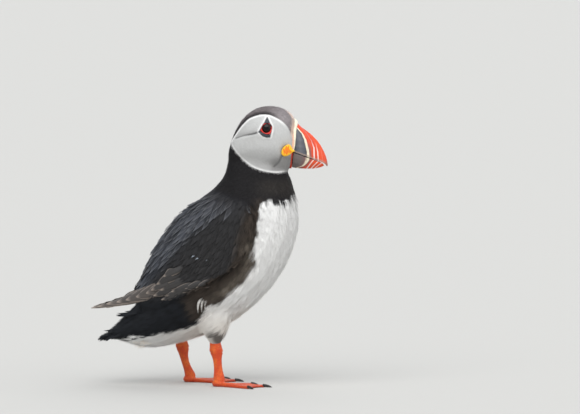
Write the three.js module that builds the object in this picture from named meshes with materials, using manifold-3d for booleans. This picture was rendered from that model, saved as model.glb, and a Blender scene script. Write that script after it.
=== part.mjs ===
// A standing Atlantic puffin, life size, in millimetres.
// +X is the way the bill points, +Y is the bird's left, +Z is up, and the soles of the feet are at z = 0.
// The solids give the outline of the plumage. Each named part of the body is one closed solid.
import * as THREE from "three";
import { mergeVertices } from "three/addons/utils/BufferGeometryUtils.js";
import Module from "manifold-3d";

const wasm = await Module();
wasm.setup();

// ---- Driving dimensions ----

const GAP = 0.3; // clear space between neighbouring parts
const RIGHT = -1; // the side of a paired part, as the sign of its y
const LEFT = 1;

const BODY_RINGS = 25;
const BODY_SIDES = 18;
const BODY_SQUARENESS = 2.15;

const HEAD_RINGS = 14;
const HEAD_SIDES = 18;
const CROWN_SQUARENESS = 2.0;
const CHEEK_SQUARENESS = 2.5;

const WING_RINGS = 17;
const WING_STEPS = 6; // points across a folded wing, from its upper edge to its lower edge

const EYE = { x: 47.6, z: 206.4, ball: 4.6, opening: 3.2, bulge: 1.1 };
const PLATE = { raised: 0.7, sunk: 1.2 }; // how far the small horny plates stand out of the face, and go in
const ROSETTE = { x: 62.6, z: 188.8, long: 4.9, wide: 4.0, thick: 2.6, tilt: 0.5 };

const TOES = [
  { name: "outer", turn: 38, length: 33, claw: 5.6 },
  { name: "middle", turn: 7, length: 37, claw: 6.4 },
  { name: "inner", turn: -25, length: 28, claw: 5.4 },
];
const TOE = { high: 3.4, wide: 3.6, taper: 0.62, sides: 7, rings: 5 };
const WEB = { low: 0.5, thick: 1.1, scallop: 0.86 };

// ---- Stations: slices of the tapering forms, as [upper x, upper z, lower x, lower z, half width] ----

// From the tip of the tail, along the back and the belly, up the neck and into the head.
const BODY = [
  [-89.8, 36.4, -89.0, 34.8, 9],
  [-84.4, 41.0, -82.4, 35.0, 14],
  [-77.8, 47.4, -74.4, 34.2, 17],
  [-70.6, 54.6, -66.4, 31.6, 19.5],
  [-61.8, 63.2, -56.0, 28.6, 24],
  [-53.2, 73.6, -43.2, 27.8, 29],
  [-47.0, 88.0, -26.6, 31.0, 35],
  [-40.6, 106.4, -7.2, 36.8, 40],
  [-33.4, 124.8, 13.8, 45.8, 43],
  [-21.0, 140.8, 34.8, 60.4, 44.5],
  [-7.0, 151.0, 53.2, 79.8, 44],
  [1.4, 158.2, 66.0, 101.6, 41.5],
  [7.2, 163.8, 72.6, 123.4, 37],
  [10.4, 168.8, 72.4, 138.0, 31.5],
  [12.4, 173.6, 69.0, 148.6, 26.5],
  [13.4, 178.4, 65.8, 160.0, 23.2],
  [16.0, 184.8, 62.6, 169.6, 20],
  [24.0, 191.0, 55.6, 179.0, 14],
];

// From the back of the head to the face behind the bill.
const HEAD = [
  [14.2, 184.8, 14.4, 180.6, 4],
  [15.4, 191.4, 17.0, 175.4, 11.5],
  [18.8, 201.2, 21.6, 172.8, 16.5],
  [24.0, 211.2, 28.8, 171.6, 19.6],
  [31.0, 218.8, 36.8, 170.8, 21],
  [39.6, 223.4, 44.8, 170.4, 21.4],
  [48.8, 224.6, 52.6, 170.0, 20.4],
  [57.6, 223.2, 58.6, 170.2, 17.8],
  [64.0, 220.4, 62.4, 172.0, 14.2],
  [67.8, 216.6, 64.6, 175.4, 10.8],
  [69.0, 213.2, 65.2, 179.6, 8.2],
];

// The upper bill from its base to the hooked tip: culmen, cutting edge and half width.
const UPPER_BILL = [
  [69.6, 211.0, 66.2, 187.4, 7.4],
  [73.8, 206.8, 72.2, 185.6, 6.6],
  [81.2, 201.4, 79.8, 182.6, 5.2],
  [87.6, 194.6, 85.8, 180.6, 3.9],
  [92.2, 186.4, 90.0, 179.0, 2.8],
  [94.2, 180.4, 92.6, 177.4, 2.0],
  [94.8, 176.6, 94.2, 175.0, 1.0],
];

// The lower bill from its base to the tip: cutting edge, keel and half width.
const LOWER_BILL = [
  [65.8, 186.9, 63.6, 174.8, 6.8],
  [71.6, 185.1, 69.6, 173.8, 6.1],
  [79.6, 182.1, 79.2, 173.2, 4.6],
  [85.8, 180.0, 86.8, 174.0, 3.2],
  [89.6, 178.3, 90.4, 175.1, 2.0],
  [91.6, 176.6, 92.0, 176.0, 0.8],
];

// The fleshy rims that frame the base of the two halves of the bill.
const UPPER_RIM = [
  [67.6, 213.8, 65.2, 187.6, 8.5],
  [69.2, 212.9, 66.4, 187.4, 8.8],
  [70.6, 211.3, 67.6, 187.1, 8.3],
];
const LOWER_RIM = [
  [64.8, 187.2, 62.6, 173.8, 7.8],
  [66.2, 186.9, 64.2, 173.5, 8.0],
  [67.6, 186.5, 65.6, 173.6, 7.4],
];

// The folded wing from its bend to the wing tip:
// [upper x, upper z, upper y, lower x, lower z, lower y, thickness], with y measured outwards.
const WING = [
  [42.2, 141.6, 41.6, 40.6, 120.4, 43.6, 9],
  [34.0, 150.6, 37.0, 35.4, 106.6, 46.4, 11],
  [15.2, 156.8, 28.0, 24.0, 94.0, 48.4, 11],
  [-5.0, 152.6, 19.0, 10.4, 85.2, 48.8, 9],
  [-21.6, 141.8, 11.0, -3.2, 78.4, 47.6, 9],
  [-35.2, 126.2, 5.5, -16.4, 72.6, 45.0, 9],
  [-46.0, 110.0, 2.6, -29.2, 67.8, 40.6, 8],
  [-53.2, 94.0, 1.8, -42.0, 64.2, 34.2, 7],
  [-59.4, 79.2, 2.2, -55.0, 62.4, 27.0, 6],
  [-70.6, 71.0, 4.0, -68.2, 61.4, 20.0, 4.5],
  [-83.4, 66.6, 6.2, -81.8, 60.8, 15.0, 3.2],
  [-93.0, 63.4, 8.4, -92.4, 60.6, 12.2, 2.2],
  [-96.6, 62.4, 9.6, -96.5, 61.2, 11.0, 1.2],
];

// Thighs, as [x, y outwards, z, half length, half width] from inside the trunk to the feathered ankle.
const RIGHT_THIGH = [
  [9.6, 19, 64, 14, 13],
  [8.2, 20, 52, 13, 12],
  [6.4, 20, 42, 10.8, 9.8],
  [6.2, 19.5, 36, 8.4, 7.6],
  [6.6, 19, 32, 5.6, 5.0],
  [7.0, 19, 29.6, 3.6, 3.2],
];
const LEFT_THIGH = [
  [-8.0, 19, 66, 14, 13],
  [-15.0, 20, 52, 11.6, 11],
  [-21.0, 20, 43, 8.8, 8.6],
  [-23.6, 19.5, 38, 6.8, 6.6],
  [-24.8, 19, 34.6, 4.8, 4.6],
  [-25.0, 19, 32.6, 3.6, 3.2],
];

// Bare legs, as [x, y outwards, z, half length, half width] from the ankle to the foot.
const RIGHT_LEG = [
  [6.8, 19, 37, 3.4, 2.6],
  [7.2, 19, 31, 4.1, 3.0],
  [7.4, 19, 27.4, 4.3, 3.1],
  [7.8, 19, 23.6, 3.7, 2.6],
  [8.4, 19.1, 18, 3.2, 2.2],
  [9.0, 19.3, 12, 3.5, 2.3],
  [9.4, 19.6, 8.4, 4.2, 2.8],
  [9.6, 19.8, 5.2, 4.4, 3.2],
];
const LEFT_LEG = [
  [-25.4, 19, 39, 3.2, 2.6],
  [-25.0, 19, 32, 4.0, 3.0],
  [-24.6, 19, 28, 4.3, 3.1],
  [-24.0, 19, 24, 3.8, 2.6],
  [-22.8, 19.1, 18, 3.1, 2.2],
  [-20.8, 19.3, 12, 3.2, 2.3],
  [-19.2, 19.6, 8.4, 3.9, 2.8],
  [-18.4, 19.8, 5.2, 4.3, 3.2],
];

// Where the whole body is parted, as [x, z, slope of the cut in degrees, length of the cut].
const PARTINGS = {
  neck_from_head: [38, 171.4, -6, 70],
  trunk_from_neck: [40, 153.0, -22, 82],
  tail_from_trunk: [-48.6, 50, -76, 62],
};
const WING_TIP_PARTING = [-57.4, 71, -72, 34];

// The outlines round the eye, as [forward, up] from its centre.
const EYE_RING = [[-1.5, 3.8], [2.3, 3.8], [3.9, 0.6], [3.8, -2.6], [2.9, -4.5], [-0.2, -4.3], [-2.8, -3.1],
  [-4.8, -1.7], [-3.5, 0.4], [-2.6, 2.2]];
const EYE_PLATE_UPPER = [[-1.6, 4.3], [2.4, 4.3], [1.4, 6.4], [0.1, 8.2], [-1.0, 6.4]];
const EYE_PLATE_LOWER = [[-6.3, -2.6], [-4.9, -2.3], [-2.8, -3.8], [-0.2, -5.0], [2.9, -5.2], [2.7, -7.0],
  [-0.1, -7.0], [-3.2, -5.6]];

// ---- Materials ----

const finish = (color, roughness) => new THREE.MeshStandardMaterial({ color, roughness, metalness: 0 });
const BLACK = finish("#2a2b2d", 0.8);
const FLIGHT = finish("#4a4542", 0.75);
const GREY = finish("#c9c8c3", 0.9);
const WHITE = finish("#f1efea", 0.9);
const LEG = finish("#e2561f", 0.5);
const CLAW = finish("#2c2a29", 0.4);
const BILL_RED = finish("#ea4a24", 0.35);
const CREAM = finish("#efe3b8", 0.5);
const ROSETTE_YELLOW = finish("#f2a513", 0.55);
const EYE_BLACK = finish("#15110f", 0.1);
const EYE_RED = finish("#c9281f", 0.5);
const EYE_SLATE = finish("#3d444b", 0.5);

// ---- Shaping ----

// The numbers of a row of stations at t, which runs from 0 at the first to 1 at the last, on a smooth curve.
function stationAt(stations, t) {
  const last = stations.length - 1;
  const place = Math.min(t * last, last - 1e-6);
  const i = Math.floor(place);
  const f = place - i;
  const near = (k) => stations[Math.min(Math.max(k, 0), last)];
  const [a, b, c, d] = [near(i - 1), near(i), near(i + 1), near(i + 2)];
  return b.map((_, k) => {
    const bend = 2 * a[k] - 5 * b[k] + 4 * c[k] - d[k];
    const twist = 3 * b[k] - a[k] - 3 * c[k] + d[k];
    return 0.5 * (2 * b[k] + (c[k] - a[k]) * f + bend * f * f + twist * f * f * f);
  });
}

const alongStations = (stations, count) =>
  Array.from({ length: count }, (_, i) => stationAt(stations, i / (count - 1)));

// Covers a row of equal rings with faces, and closes each end with a fan to its middle.
function skinned(rings) {
  const sides = rings[0].length;
  const middle = (ring) => ring.reduce((sum, p) => sum.add(p), new THREE.Vector3()).divideScalar(sides);
  const points = [...rings.flat(), middle(rings[0]), middle(rings.at(-1))];
  const first = points.length - 2;
  const index = [];
  const start = (rings.length - 1) * sides;
  for (let j = 0; j < sides; j++) {
    const next = (j + 1) % sides;
    index.push(first, next, j, first + 1, start + j, start + next);
    for (let i = 0; i + 1 < rings.length; i++) {
      const a = i * sides + j;
      const b = i * sides + next;
      index.push(a, b, b + sides, a, b + sides, a + sides);
    }
  }
  const geometry = new THREE.BufferGeometry().setFromPoints(points);
  geometry.setIndex(index);
  return geometry;
}

// A rounded section: [along, across], each from -1 to 1. An exponent of 2 is an ellipse and more is squarer.
function roundSection(sides, above = 2, below = above) {
  return Array.from({ length: sides }, (_, j) => {
    const angle = (2 * Math.PI * j) / sides;
    const power = 2 / (Math.cos(angle) > 0 ? above : below);
    return [Math.cos(angle), Math.sin(angle)].map((v) => Math.sign(v) * Math.abs(v) ** power);
  });
}

// A wedge: wide and flat on the cutting edge at -1, and rounded over the ridge at 1.
function wedgeSection(steps) {
  const half = Array.from({ length: steps + 1 }, (_, j) => {
    const rise = (1 - Math.cos((Math.PI * j) / steps)) / 2;
    return [2 * rise - 1, Math.max(0, 1 - rise ** 1.9) ** 0.85];
  });
  return [...half, ...half.slice(0, -1).reverse().map(([along, across]) => [along, -across])];
}

// A form through slices of the side view. flip turns the section over, for a form whose flat edge is on top.
function loft(stations, count, section, flip = 1) {
  return skinned(
    alongStations(stations, count).map(([upX, upZ, lowX, lowZ, half]) =>
      section.map(([along, across]) => {
        const share = (1 + flip * along) / 2;
        return new THREE.Vector3(lowX + (upX - lowX) * share, half * across, lowZ + (upZ - lowZ) * share);
      }),
    ),
  );
}

// An upright form through level rings: a thigh or a leg.
function column(stations, count, sides, side) {
  return skinned(
    alongStations(stations, count).map(([x, outwards, z, long, wide]) =>
      roundSection(sides).map(
        ([along, across]) => new THREE.Vector3(x + long * along, side * outwards + wide * across, z),
      ),
    ),
  );
}

// A folded wing: each slice is a curved strip round the flank, with its own thickness.
function wingGeometry(side) {
  const rings = alongStations(WING, WING_RINGS).map(([upX, upZ, upY, lowX, lowZ, lowY, thick]) => {
    const outer = [];
    const inner = [];
    for (let k = 0; k <= WING_STEPS; k++) {
      const angle = ((Math.PI / 2) * k) / WING_STEPS;
      const [rise, out] = [Math.cos(angle), Math.sin(angle)];
      const spoke = new THREE.Vector3((upX - lowX) * rise, (lowY - upY) * out, (upZ - lowZ) * rise);
      const centre = new THREE.Vector3(lowX, upY, lowZ);
      outer.push(centre.clone().add(spoke));
      inner.push(outer[k].clone().addScaledVector(spoke.normalize(), -thick));
    }
    return [...outer, ...inner.reverse()];
  });
  return skinned(rings).scale(1, side, 1);
}

// A flat outline of the side view, drawn from the middle of the body out past one side of it.
function cutter(outline, side, hole = 0) {
  const shape = new THREE.Shape(outline.map(([x, z]) => new THREE.Vector2(x, z)));
  if (hole) shape.holes.push(new THREE.Path().absarc(0, 0, hole, 0, 2 * Math.PI));
  const geometry = new THREE.ExtrudeGeometry(shape, { depth: 40, bevelEnabled: false, curveSegments: 9 });
  return geometry.rotateX(Math.PI / 2).scale(1, -side, 1).translate(EYE.x, 0, EYE.z);
}

// The outline moved out all round by a margin, for a pocket with some room in it.
function widened(outline, margin) {
  const points = outline.map(([x, z]) => new THREE.Vector2(x, z));
  const turn = Math.sign(THREE.ShapeUtils.area(points));
  return points.map((point, i) => {
    const into = point.clone().sub(points.at(i - 1)).normalize();
    const out = points[(i + 1) % points.length].clone().sub(point).normalize();
    const along = into.add(out).normalize();
    return [point.x + turn * along.y * margin * 1.3, point.y - turn * along.x * margin * 1.3];
  });
}

// A closed solid from a geometry, facing outwards whichever way round the faces came.
function solid(geometry) {
  const bare = geometry.clone();
  ["normal", "uv"].forEach((name) => bare.deleteAttribute(name));
  const merged = mergeVertices(bare, 1e-4);
  const numbers = { numProp: 3, vertProperties: new Float32Array(merged.attributes.position.array) };
  const triVerts = new Uint32Array(merged.index.array);
  const made = new wasm.Manifold(new wasm.Mesh({ ...numbers, triVerts }));
  if (made.volume() > 0) return made;
  for (let i = 0; i < triVerts.length; i += 3) {
    [triVerts[i + 1], triVerts[i + 2]] = [triVerts[i + 2], triVerts[i + 1]];
  }
  return new wasm.Manifold(new wasm.Mesh({ ...numbers, triVerts }));
}

function geometryOf(made) {
  const { numProp, numVert, vertProperties, triVerts } = made.getMesh();
  const position = new Float32Array(numVert * 3);
  for (let i = 0; i < numVert; i++) {
    position.set(vertProperties.subarray(i * numProp, i * numProp + 3), i * 3);
  }
  const geometry = new THREE.BufferGeometry();
  geometry.setAttribute("position", new THREE.BufferAttribute(position, 3));
  geometry.setIndex(new THREE.BufferAttribute(new Uint32Array(triVerts), 1));
  return geometry;
}

// The solid of a geometry with its surface moved outwards, or inwards where the distance is negative.
function swollen(geometry, distance = GAP) {
  const merged = geometryOf(solid(geometry));
  merged.computeVertexNormals();
  const { position, normal } = merged.attributes;
  const point = new THREE.Vector3();
  const outwards = new THREE.Vector3();
  for (let i = 0; i < position.count; i++) {
    point.fromBufferAttribute(position, i);
    point.addScaledVector(outwards.fromBufferAttribute(normal, i), distance);
    position.setXYZ(i, point.x, point.y, point.z);
  }
  return solid(merged);
}

// A thin plate that parts whatever it crosses.
function blade([x, z, slope, length], breadth = 120) {
  const plate = new THREE.BoxGeometry(length, breadth, GAP);
  return solid(plate.rotateY(THREE.MathUtils.degToRad(-slope)).translate(x, 0, z));
}

const volumeOf = (made) => made.volume();
const largest = (made) => made.decompose().sort((a, b) => volumeOf(b) - volumeOf(a))[0];
const cutBy = (made, tools) => tools.reduce((rest, tool) => rest.subtract(tool), made);

// ---- Head and its small parts ----

const bodyGeometry = loft(BODY, BODY_RINGS, roundSection(BODY_SIDES, BODY_SQUARENESS));
const headSection = roundSection(HEAD_SIDES, CROWN_SQUARENESS, CHEEK_SQUARENESS);
const headGeometry = loft(HEAD, HEAD_RINGS, headSection);
const upperBillGeometry = loft(UPPER_BILL, 12, wedgeSection(6));
const lowerBillGeometry = loft(LOWER_BILL, 9, wedgeSection(5), -1);
const upperRimGeometry = loft(UPPER_RIM, 4, wedgeSection(7));
const lowerRimGeometry = loft(LOWER_RIM, 4, wedgeSection(7), -1);

// How far the face stands out to the side at a place in the side view.
function faceHalfWidth(x, z) {
  const ray = new THREE.Raycaster(new THREE.Vector3(x, 60, z), new THREE.Vector3(0, -1, 0));
  const target = new THREE.Mesh(headGeometry, new THREE.MeshBasicMaterial({ side: THREE.DoubleSide }));
  return ray.intersectObject(target)[0].point.y;
}
const EYE_SOCKET_Y = faceHalfWidth(EYE.x, EYE.z) + EYE.bulge - EYE.ball;
const ROSETTE_Y = faceHalfWidth(ROSETTE.x - 2, ROSETTE.z) - 0.6;

const eyeGeometry = (side) =>
  new THREE.SphereGeometry(EYE.ball, 14, 9).translate(EYE.x, side * EYE_SOCKET_Y, EYE.z);

function rosetteGeometry(side) {
  const pad = new THREE.SphereGeometry(1, 14, 8).scale(ROSETTE.wide, ROSETTE.thick, ROSETTE.long);
  return pad.rotateY(ROSETTE.tilt).rotateZ(-side * 0.42).translate(ROSETTE.x, side * ROSETTE_Y, ROSETTE.z);
}

// A horny plate or ring that follows the curve of the face, and the pocket it sits in.
function facePlate(outline, side, hole) {
  const over = swollen(headGeometry, PLATE.raised);
  const under = swollen(headGeometry, -PLATE.sunk);
  return solid(cutter(outline, side, hole)).intersect(over).subtract(under);
}
function facePocket(outline, side) {
  const under = swollen(headGeometry, -PLATE.sunk - GAP);
  return solid(cutter(widened(outline, GAP), side)).subtract(under);
}

// ---- Feet ----

// A toe lies along +X from the origin, on the floor.
function toeGeometry({ length }) {
  const knuckles = (t) => 1 + 0.08 * Math.cos(6 * Math.PI * t);
  const rings = Array.from({ length: TOE.rings }, (_, i) => {
    const t = i / (TOE.rings - 1);
    const size = (1 - (1 - TOE.taper) * t) * knuckles(t);
    const [wide, high] = [(TOE.wide / 2) * size, (TOE.high / 2) * size];
    return roundSection(TOE.sides).map(
      ([up, across]) => new THREE.Vector3(t * length, wide * across, high * (0.86 + up)),
    );
  });
  return skinned(rings);
}

// A claw, from its root inside the toe to its point, curved down to the floor.
function clawGeometry({ length, claw }) {
  const root = -1.2;
  const rings = Array.from({ length: 5 }, (_, i) => {
    const t = i / 4;
    const x = length + root + t * (claw - root);
    const size = Math.sqrt(1 - t * t * 0.985);
    const middle = 1.3 * (1 - t * t) + 0.3;
    return roundSection(6).map(
      ([up, across]) => new THREE.Vector3(x, 1.1 * size * across, middle + 1.3 * size * up),
    );
  });
  return skinned(rings);
}

// The web between the toes, drawn from above, with an edge that is drawn in between the tips.
function webGeometry(side) {
  const tip = ({ turn, length }, reach) => {
    const angle = THREE.MathUtils.degToRad(turn) * side;
    return [Math.cos(angle) * length * reach, Math.sin(angle) * length * reach];
  };
  const shape = new THREE.Shape().moveTo(-2, 0);
  TOES.forEach((toe, i) => {
    if (i === 0) {
      shape.lineTo(...tip(toe, 0.97));
      return;
    }
    const before = TOES[i - 1];
    const between = { turn: (toe.turn + before.turn) / 2, length: (toe.length + before.length) / 2 };
    shape.quadraticCurveTo(...tip(between, WEB.scallop), ...tip(toe, 0.97));
  });
  const options = { depth: WEB.thick, bevelEnabled: false, curveSegments: 3 };
  return new THREE.ExtrudeGeometry(shape, options).translate(0, 0, WEB.low);
}

const FLOOR = solid(new THREE.BoxGeometry(400, 400, 40).translate(0, 0, -20));

// The foot and its claws, with the joint of the toes under the end of the leg.
function footParts(side, leg) {
  const [x, outwards] = leg.at(-1);
  const place = (geometry, turn = 0) =>
    geometry.rotateZ(THREE.MathUtils.degToRad(turn) * side).translate(x, side * outwards, 0);
  const claws = TOES.map((toe) => place(clawGeometry(toe), toe.turn));
  const pad = new THREE.SphereGeometry(1, 10, 5).scale(5.4, 4.4, 3.4).translate(x - 0.4, side * outwards, 2.4);
  const toes = TOES.map((toe) => solid(place(toeGeometry(toe), toe.turn)));
  const whole = toes.reduce((sum, toe) => sum.add(toe), solid(place(webGeometry(side))).add(solid(pad)));
  return {
    foot: cutBy(whole, [FLOOR, ...claws.map((claw) => swollen(claw))]),
    claws: claws.map((claw) => solid(claw).subtract(FLOOR)),
  };
}

// ---- The bird ----

const bird = new THREE.Group();

function addPart(name, made, material) {
  const mesh = new THREE.Mesh(geometryOf(made), material);
  mesh.name = name;
  bird.add(mesh);
}

const upperRim = solid(upperRimGeometry);
const lowerRim = cutBy(solid(lowerRimGeometry), [swollen(upperRimGeometry)]);
const rosetteRoom = [RIGHT, LEFT].map((side) => swollen(rosetteGeometry(side)));

// Trunk, neck, head and tail are modelled whole and parted with thin cuts.
const blades = Object.values(PARTINGS).map((parting) => blade(parting));
const parted = cutBy(solid(bodyGeometry).add(solid(headGeometry)), blades).decompose();
const heightOf = (made) => made.boundingBox().max[2];
const [headBlock, neck, trunk, tail] = parted.sort((a, b) => heightOf(b) - heightOf(a));
const headPockets = [swollen(upperRimGeometry), swollen(lowerRimGeometry), swollen(upperBillGeometry),
  swollen(lowerBillGeometry), ...rosetteRoom];
for (const side of [RIGHT, LEFT]) {
  headPockets.push(swollen(eyeGeometry(side)));
  [EYE_RING, EYE_PLATE_UPPER, EYE_PLATE_LOWER].forEach((outline) => headPockets.push(facePocket(outline, side)));
}
addPart("head", largest(cutBy(headBlock, headPockets)), GREY);
addPart("neck", neck, BLACK);
addPart("trunk", trunk, WHITE);
addPart("tail", tail, BLACK);

// The two halves of the bill meet along the gape, and start at the rims.
const upperBill = cutBy(solid(upperBillGeometry), [swollen(upperRimGeometry), ...rosetteRoom]);
const lowerTools = [swollen(upperBillGeometry), swollen(lowerRimGeometry), swollen(upperRimGeometry)];
addPart("bill_upper", largest(upperBill), BILL_RED);
addPart("bill_lower", largest(cutBy(solid(lowerBillGeometry), [...lowerTools, ...rosetteRoom])), BILL_RED);
addPart("bill_rim", largest(cutBy(upperRim, rosetteRoom)), CREAM);
addPart("bill_rim_lower", largest(cutBy(lowerRim, rosetteRoom)), BILL_RED);

for (const [side, word, thighStations, legStations] of [
  [RIGHT, "right", RIGHT_THIGH, RIGHT_LEG],
  [LEFT, "left", LEFT_THIGH, LEFT_LEG],
]) {
  addPart(`eye_${word}`, solid(eyeGeometry(side)), EYE_BLACK);
  const roundEye = (plate) => largest(plate.subtract(swollen(eyeGeometry(side))));
  addPart(`eye_ring_${word}`, roundEye(facePlate(EYE_RING, side, EYE.opening)), EYE_RED);
  addPart(`eye_plate_upper_${word}`, roundEye(facePlate(EYE_PLATE_UPPER, side)), EYE_SLATE);
  addPart(`eye_plate_lower_${word}`, roundEye(facePlate(EYE_PLATE_LOWER, side)), EYE_SLATE);
  addPart(`rosette_${word}`, solid(rosetteGeometry(side)), ROSETTE_YELLOW);

  const wing = largest(solid(wingGeometry(side)).subtract(swollen(bodyGeometry)));
  const [arm, tip] = wing
    .subtract(blade(WING_TIP_PARTING))
    .decompose()
    .sort((a, b) => volumeOf(b) - volumeOf(a));
  addPart(`wing_${word}`, arm, BLACK);
  addPart(`wing_tip_${word}`, tip, FLIGHT);

  const thigh = column(thighStations, 8, 14, side);
  addPart(`thigh_${word}`, largest(solid(thigh).subtract(swollen(bodyGeometry))), WHITE);
  const leg = column(legStations, 11, 10, side);
  const { foot, claws } = footParts(side, legStations);
  addPart(`leg_${word}`, largest(solid(leg).subtract(swollen(thigh))), LEG);
  addPart(`foot_${word}`, largest(foot.subtract(swollen(leg))), LEG);
  claws.forEach((claw, i) => addPart(`claw_${TOES[i].name}_${word}`, claw, CLAW));
}

// The origin is on the floor under the middle of the bird's length.
const box = new THREE.Box3().setFromObject(bird);
bird.position.x = -(box.min.x + box.max.x) / 2;

export default bird;
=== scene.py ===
# %% [markdown]
# # A standing Atlantic puffin
# This lesson dresses a set of plain solids as a living bird. The solids give the outline of the
# plumage. Inside them lies one smooth skin, and thousands of small feathers grow from it, each one
# lying the way it lies on the real bird. The bill, the eyes and the claws are horn and wet tissue,
# so they are made as pieces of their own. All lengths in the script are in millimetres until they
# are multiplied by MM, because a bird is easier to think of in millimetres.

# %% Load the solids
import math
import bmesh
import bpy
import numpy as np
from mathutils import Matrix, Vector
from mathutils.bvhtree import BVHTree


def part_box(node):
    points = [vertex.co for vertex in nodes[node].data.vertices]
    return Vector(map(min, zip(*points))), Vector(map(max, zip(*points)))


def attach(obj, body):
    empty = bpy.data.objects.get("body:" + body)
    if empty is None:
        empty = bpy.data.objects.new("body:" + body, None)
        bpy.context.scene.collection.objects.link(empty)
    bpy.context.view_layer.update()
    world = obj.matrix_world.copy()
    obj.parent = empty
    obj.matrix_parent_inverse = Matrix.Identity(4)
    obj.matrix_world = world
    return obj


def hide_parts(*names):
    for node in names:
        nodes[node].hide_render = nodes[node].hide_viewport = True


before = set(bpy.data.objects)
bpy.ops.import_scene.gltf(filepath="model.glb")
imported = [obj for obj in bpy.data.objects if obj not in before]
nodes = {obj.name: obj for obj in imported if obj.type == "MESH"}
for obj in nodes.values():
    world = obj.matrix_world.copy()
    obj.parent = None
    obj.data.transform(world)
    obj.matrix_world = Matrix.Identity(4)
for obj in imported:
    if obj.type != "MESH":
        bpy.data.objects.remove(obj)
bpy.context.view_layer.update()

MM = 0.001
scene = bpy.context.scene
print(len(nodes), "solids")

# %% [markdown]
# ## Camera, floor and light
# The bird is seen almost exactly from its right side, a little from the front and from just above
# its feet, through a very long lens. A long lens keeps the proportions true, as in wildlife
# pictures. The floor is plain and pale. Large soft lamps stand in for an overcast sky: black
# feathers only show their shape through broad soft reflections.

# %% Camera
CAMERA_AZIMUTH, CAMERA_ELEVATION = math.radians(6), math.radians(3.5)
CAMERA_DISTANCE = 5.15
AIM = Vector((65.3, 0, 142.7)) * MM


def direction_from(azimuth, elevation):
    """The unit vector from the bird towards a viewer."""
    flat = math.cos(elevation)
    return Vector((math.sin(azimuth) * flat, -math.cos(azimuth) * flat, math.sin(elevation)))


def aimed(obj, place, target):
    obj.location = place
    obj.rotation_euler = (place - target).to_track_quat("Z", "Y").to_euler()
    scene.collection.objects.link(obj)
    return obj


lens = bpy.data.cameras.new("camera")
lens.lens, lens.sensor_width = 400, 36
lens.clip_end = 200
viewpoint = AIM + direction_from(CAMERA_AZIMUTH, CAMERA_ELEVATION) * CAMERA_DISTANCE
scene.camera = aimed(bpy.data.objects.new("camera", lens), viewpoint, AIM)
scene.view_settings.view_transform = "Standard"

# %% Lamps, sky and floor
# Each lamp: azimuth and elevation in degrees, spread of its light in degrees, and strength.
LAMPS = {
    "sky_key": (-12, 50, 60, 2.1),
    "sky_fill": (75, 28, 80, 1.0),
    "sky_back": (165, 50, 60, 0.9),
}
FLOOR_COLOUR = (0.50, 0.495, 0.475, 1)
SKY_STRENGTH = 0.6

for name, (azimuth, elevation, spread, strength) in LAMPS.items():
    light = bpy.data.lights.new(name, "SUN")
    light.angle, light.energy = math.radians(spread), strength
    place = direction_from(math.radians(azimuth), math.radians(elevation))
    aimed(bpy.data.objects.new(name, light), place, Vector())

world = bpy.data.worlds.new("sky")
world.use_nodes = True
sky = world.node_tree.nodes["Background"]
sky.inputs["Color"].default_value = (0.93, 0.96, 1.0, 1)
sky.inputs["Strength"].default_value = SKY_STRENGTH
scene.world = world

bpy.ops.mesh.primitive_plane_add(size=120)
floor = bpy.context.object
floor.name = "floor"
paint = bpy.data.materials.new("floor")
paint.use_nodes = True
paint.node_tree.nodes["Principled BSDF"].inputs["Base Color"].default_value = FLOOR_COLOUR
paint.node_tree.nodes["Principled BSDF"].inputs["Roughness"].default_value = 0.9
floor.data.materials.append(paint)

# %% [markdown]
# ## Working with whole meshes at once
# A skin has tens of thousands of points. Reading them into one array, changing the array and
# writing it back is hundreds of times faster than a loop over the points, and the sums read like
# the geometry they describe.

# %% Tools for meshes


def values_of(items, field, width=3, kind=np.float32):
    """One field of all the items of a mesh, as the rows of an array."""
    values = np.empty(len(items) * width, kind)
    items.foreach_get(field, values)
    return values.reshape(-1, width)


def points_of(mesh):
    return values_of(mesh.vertices, "co").astype(float)


def normals_of(mesh):
    return values_of(mesh.vertex_normals, "vector").astype(float)


def move_points(mesh, points):
    mesh.vertices.foreach_set("co", points.astype(np.float32).ravel())
    mesh.update()


def store(mesh, name, values):
    """Keeps a number, a vector or a colour for each point of a mesh."""
    values = np.array(values, np.float32)
    kinds = {1: ("FLOAT", "value"), 3: ("FLOAT_VECTOR", "vector"), 4: ("FLOAT_COLOR", "color")}
    kind, field = kinds[values[0].size]
    attribute = mesh.attributes.get(name) or mesh.attributes.new(name, kind, "POINT")
    attribute.data.foreach_set(field, values.ravel())


def smooth(values, low, high):
    """Goes gently from 0 at low to 1 at high."""
    t = np.clip((values - low) / (high - low), 0, 1)
    return t * t * (3 - 2 * t)


def soft_band(distance, width):
    """1 where the distance is 0, fading out over the width on both sides."""
    return np.exp(-((distance / width) ** 2))


def piece(name, mesh, *materials):
    obj = bpy.data.objects.new(name, mesh)
    scene.collection.objects.link(obj)
    for material in materials:
        obj.data.materials.append(material)
    return obj


def shown(name, mesh, slot, *materials, node=None):
    """A finished piece. It rides on the body, and may stand for one of the solids."""
    mesh.shade_smooth()
    mesh.calc_loop_triangles()
    made = piece(name, mesh, *materials)
    if node:
        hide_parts(node)
    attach(made, "root")
    print(name, len(mesh.loop_triangles), "triangles")


def evaluated(obj, name):
    """A plain mesh of what the object's modifiers make. The object itself is removed."""
    graph = bpy.context.evaluated_depsgraph_get()
    made = bpy.data.meshes.new_from_object(obj.evaluated_get(graph), preserve_all_data_layers=True,
                                           depsgraph=graph)
    made.name = name
    bpy.data.objects.remove(obj)
    return made


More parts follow.
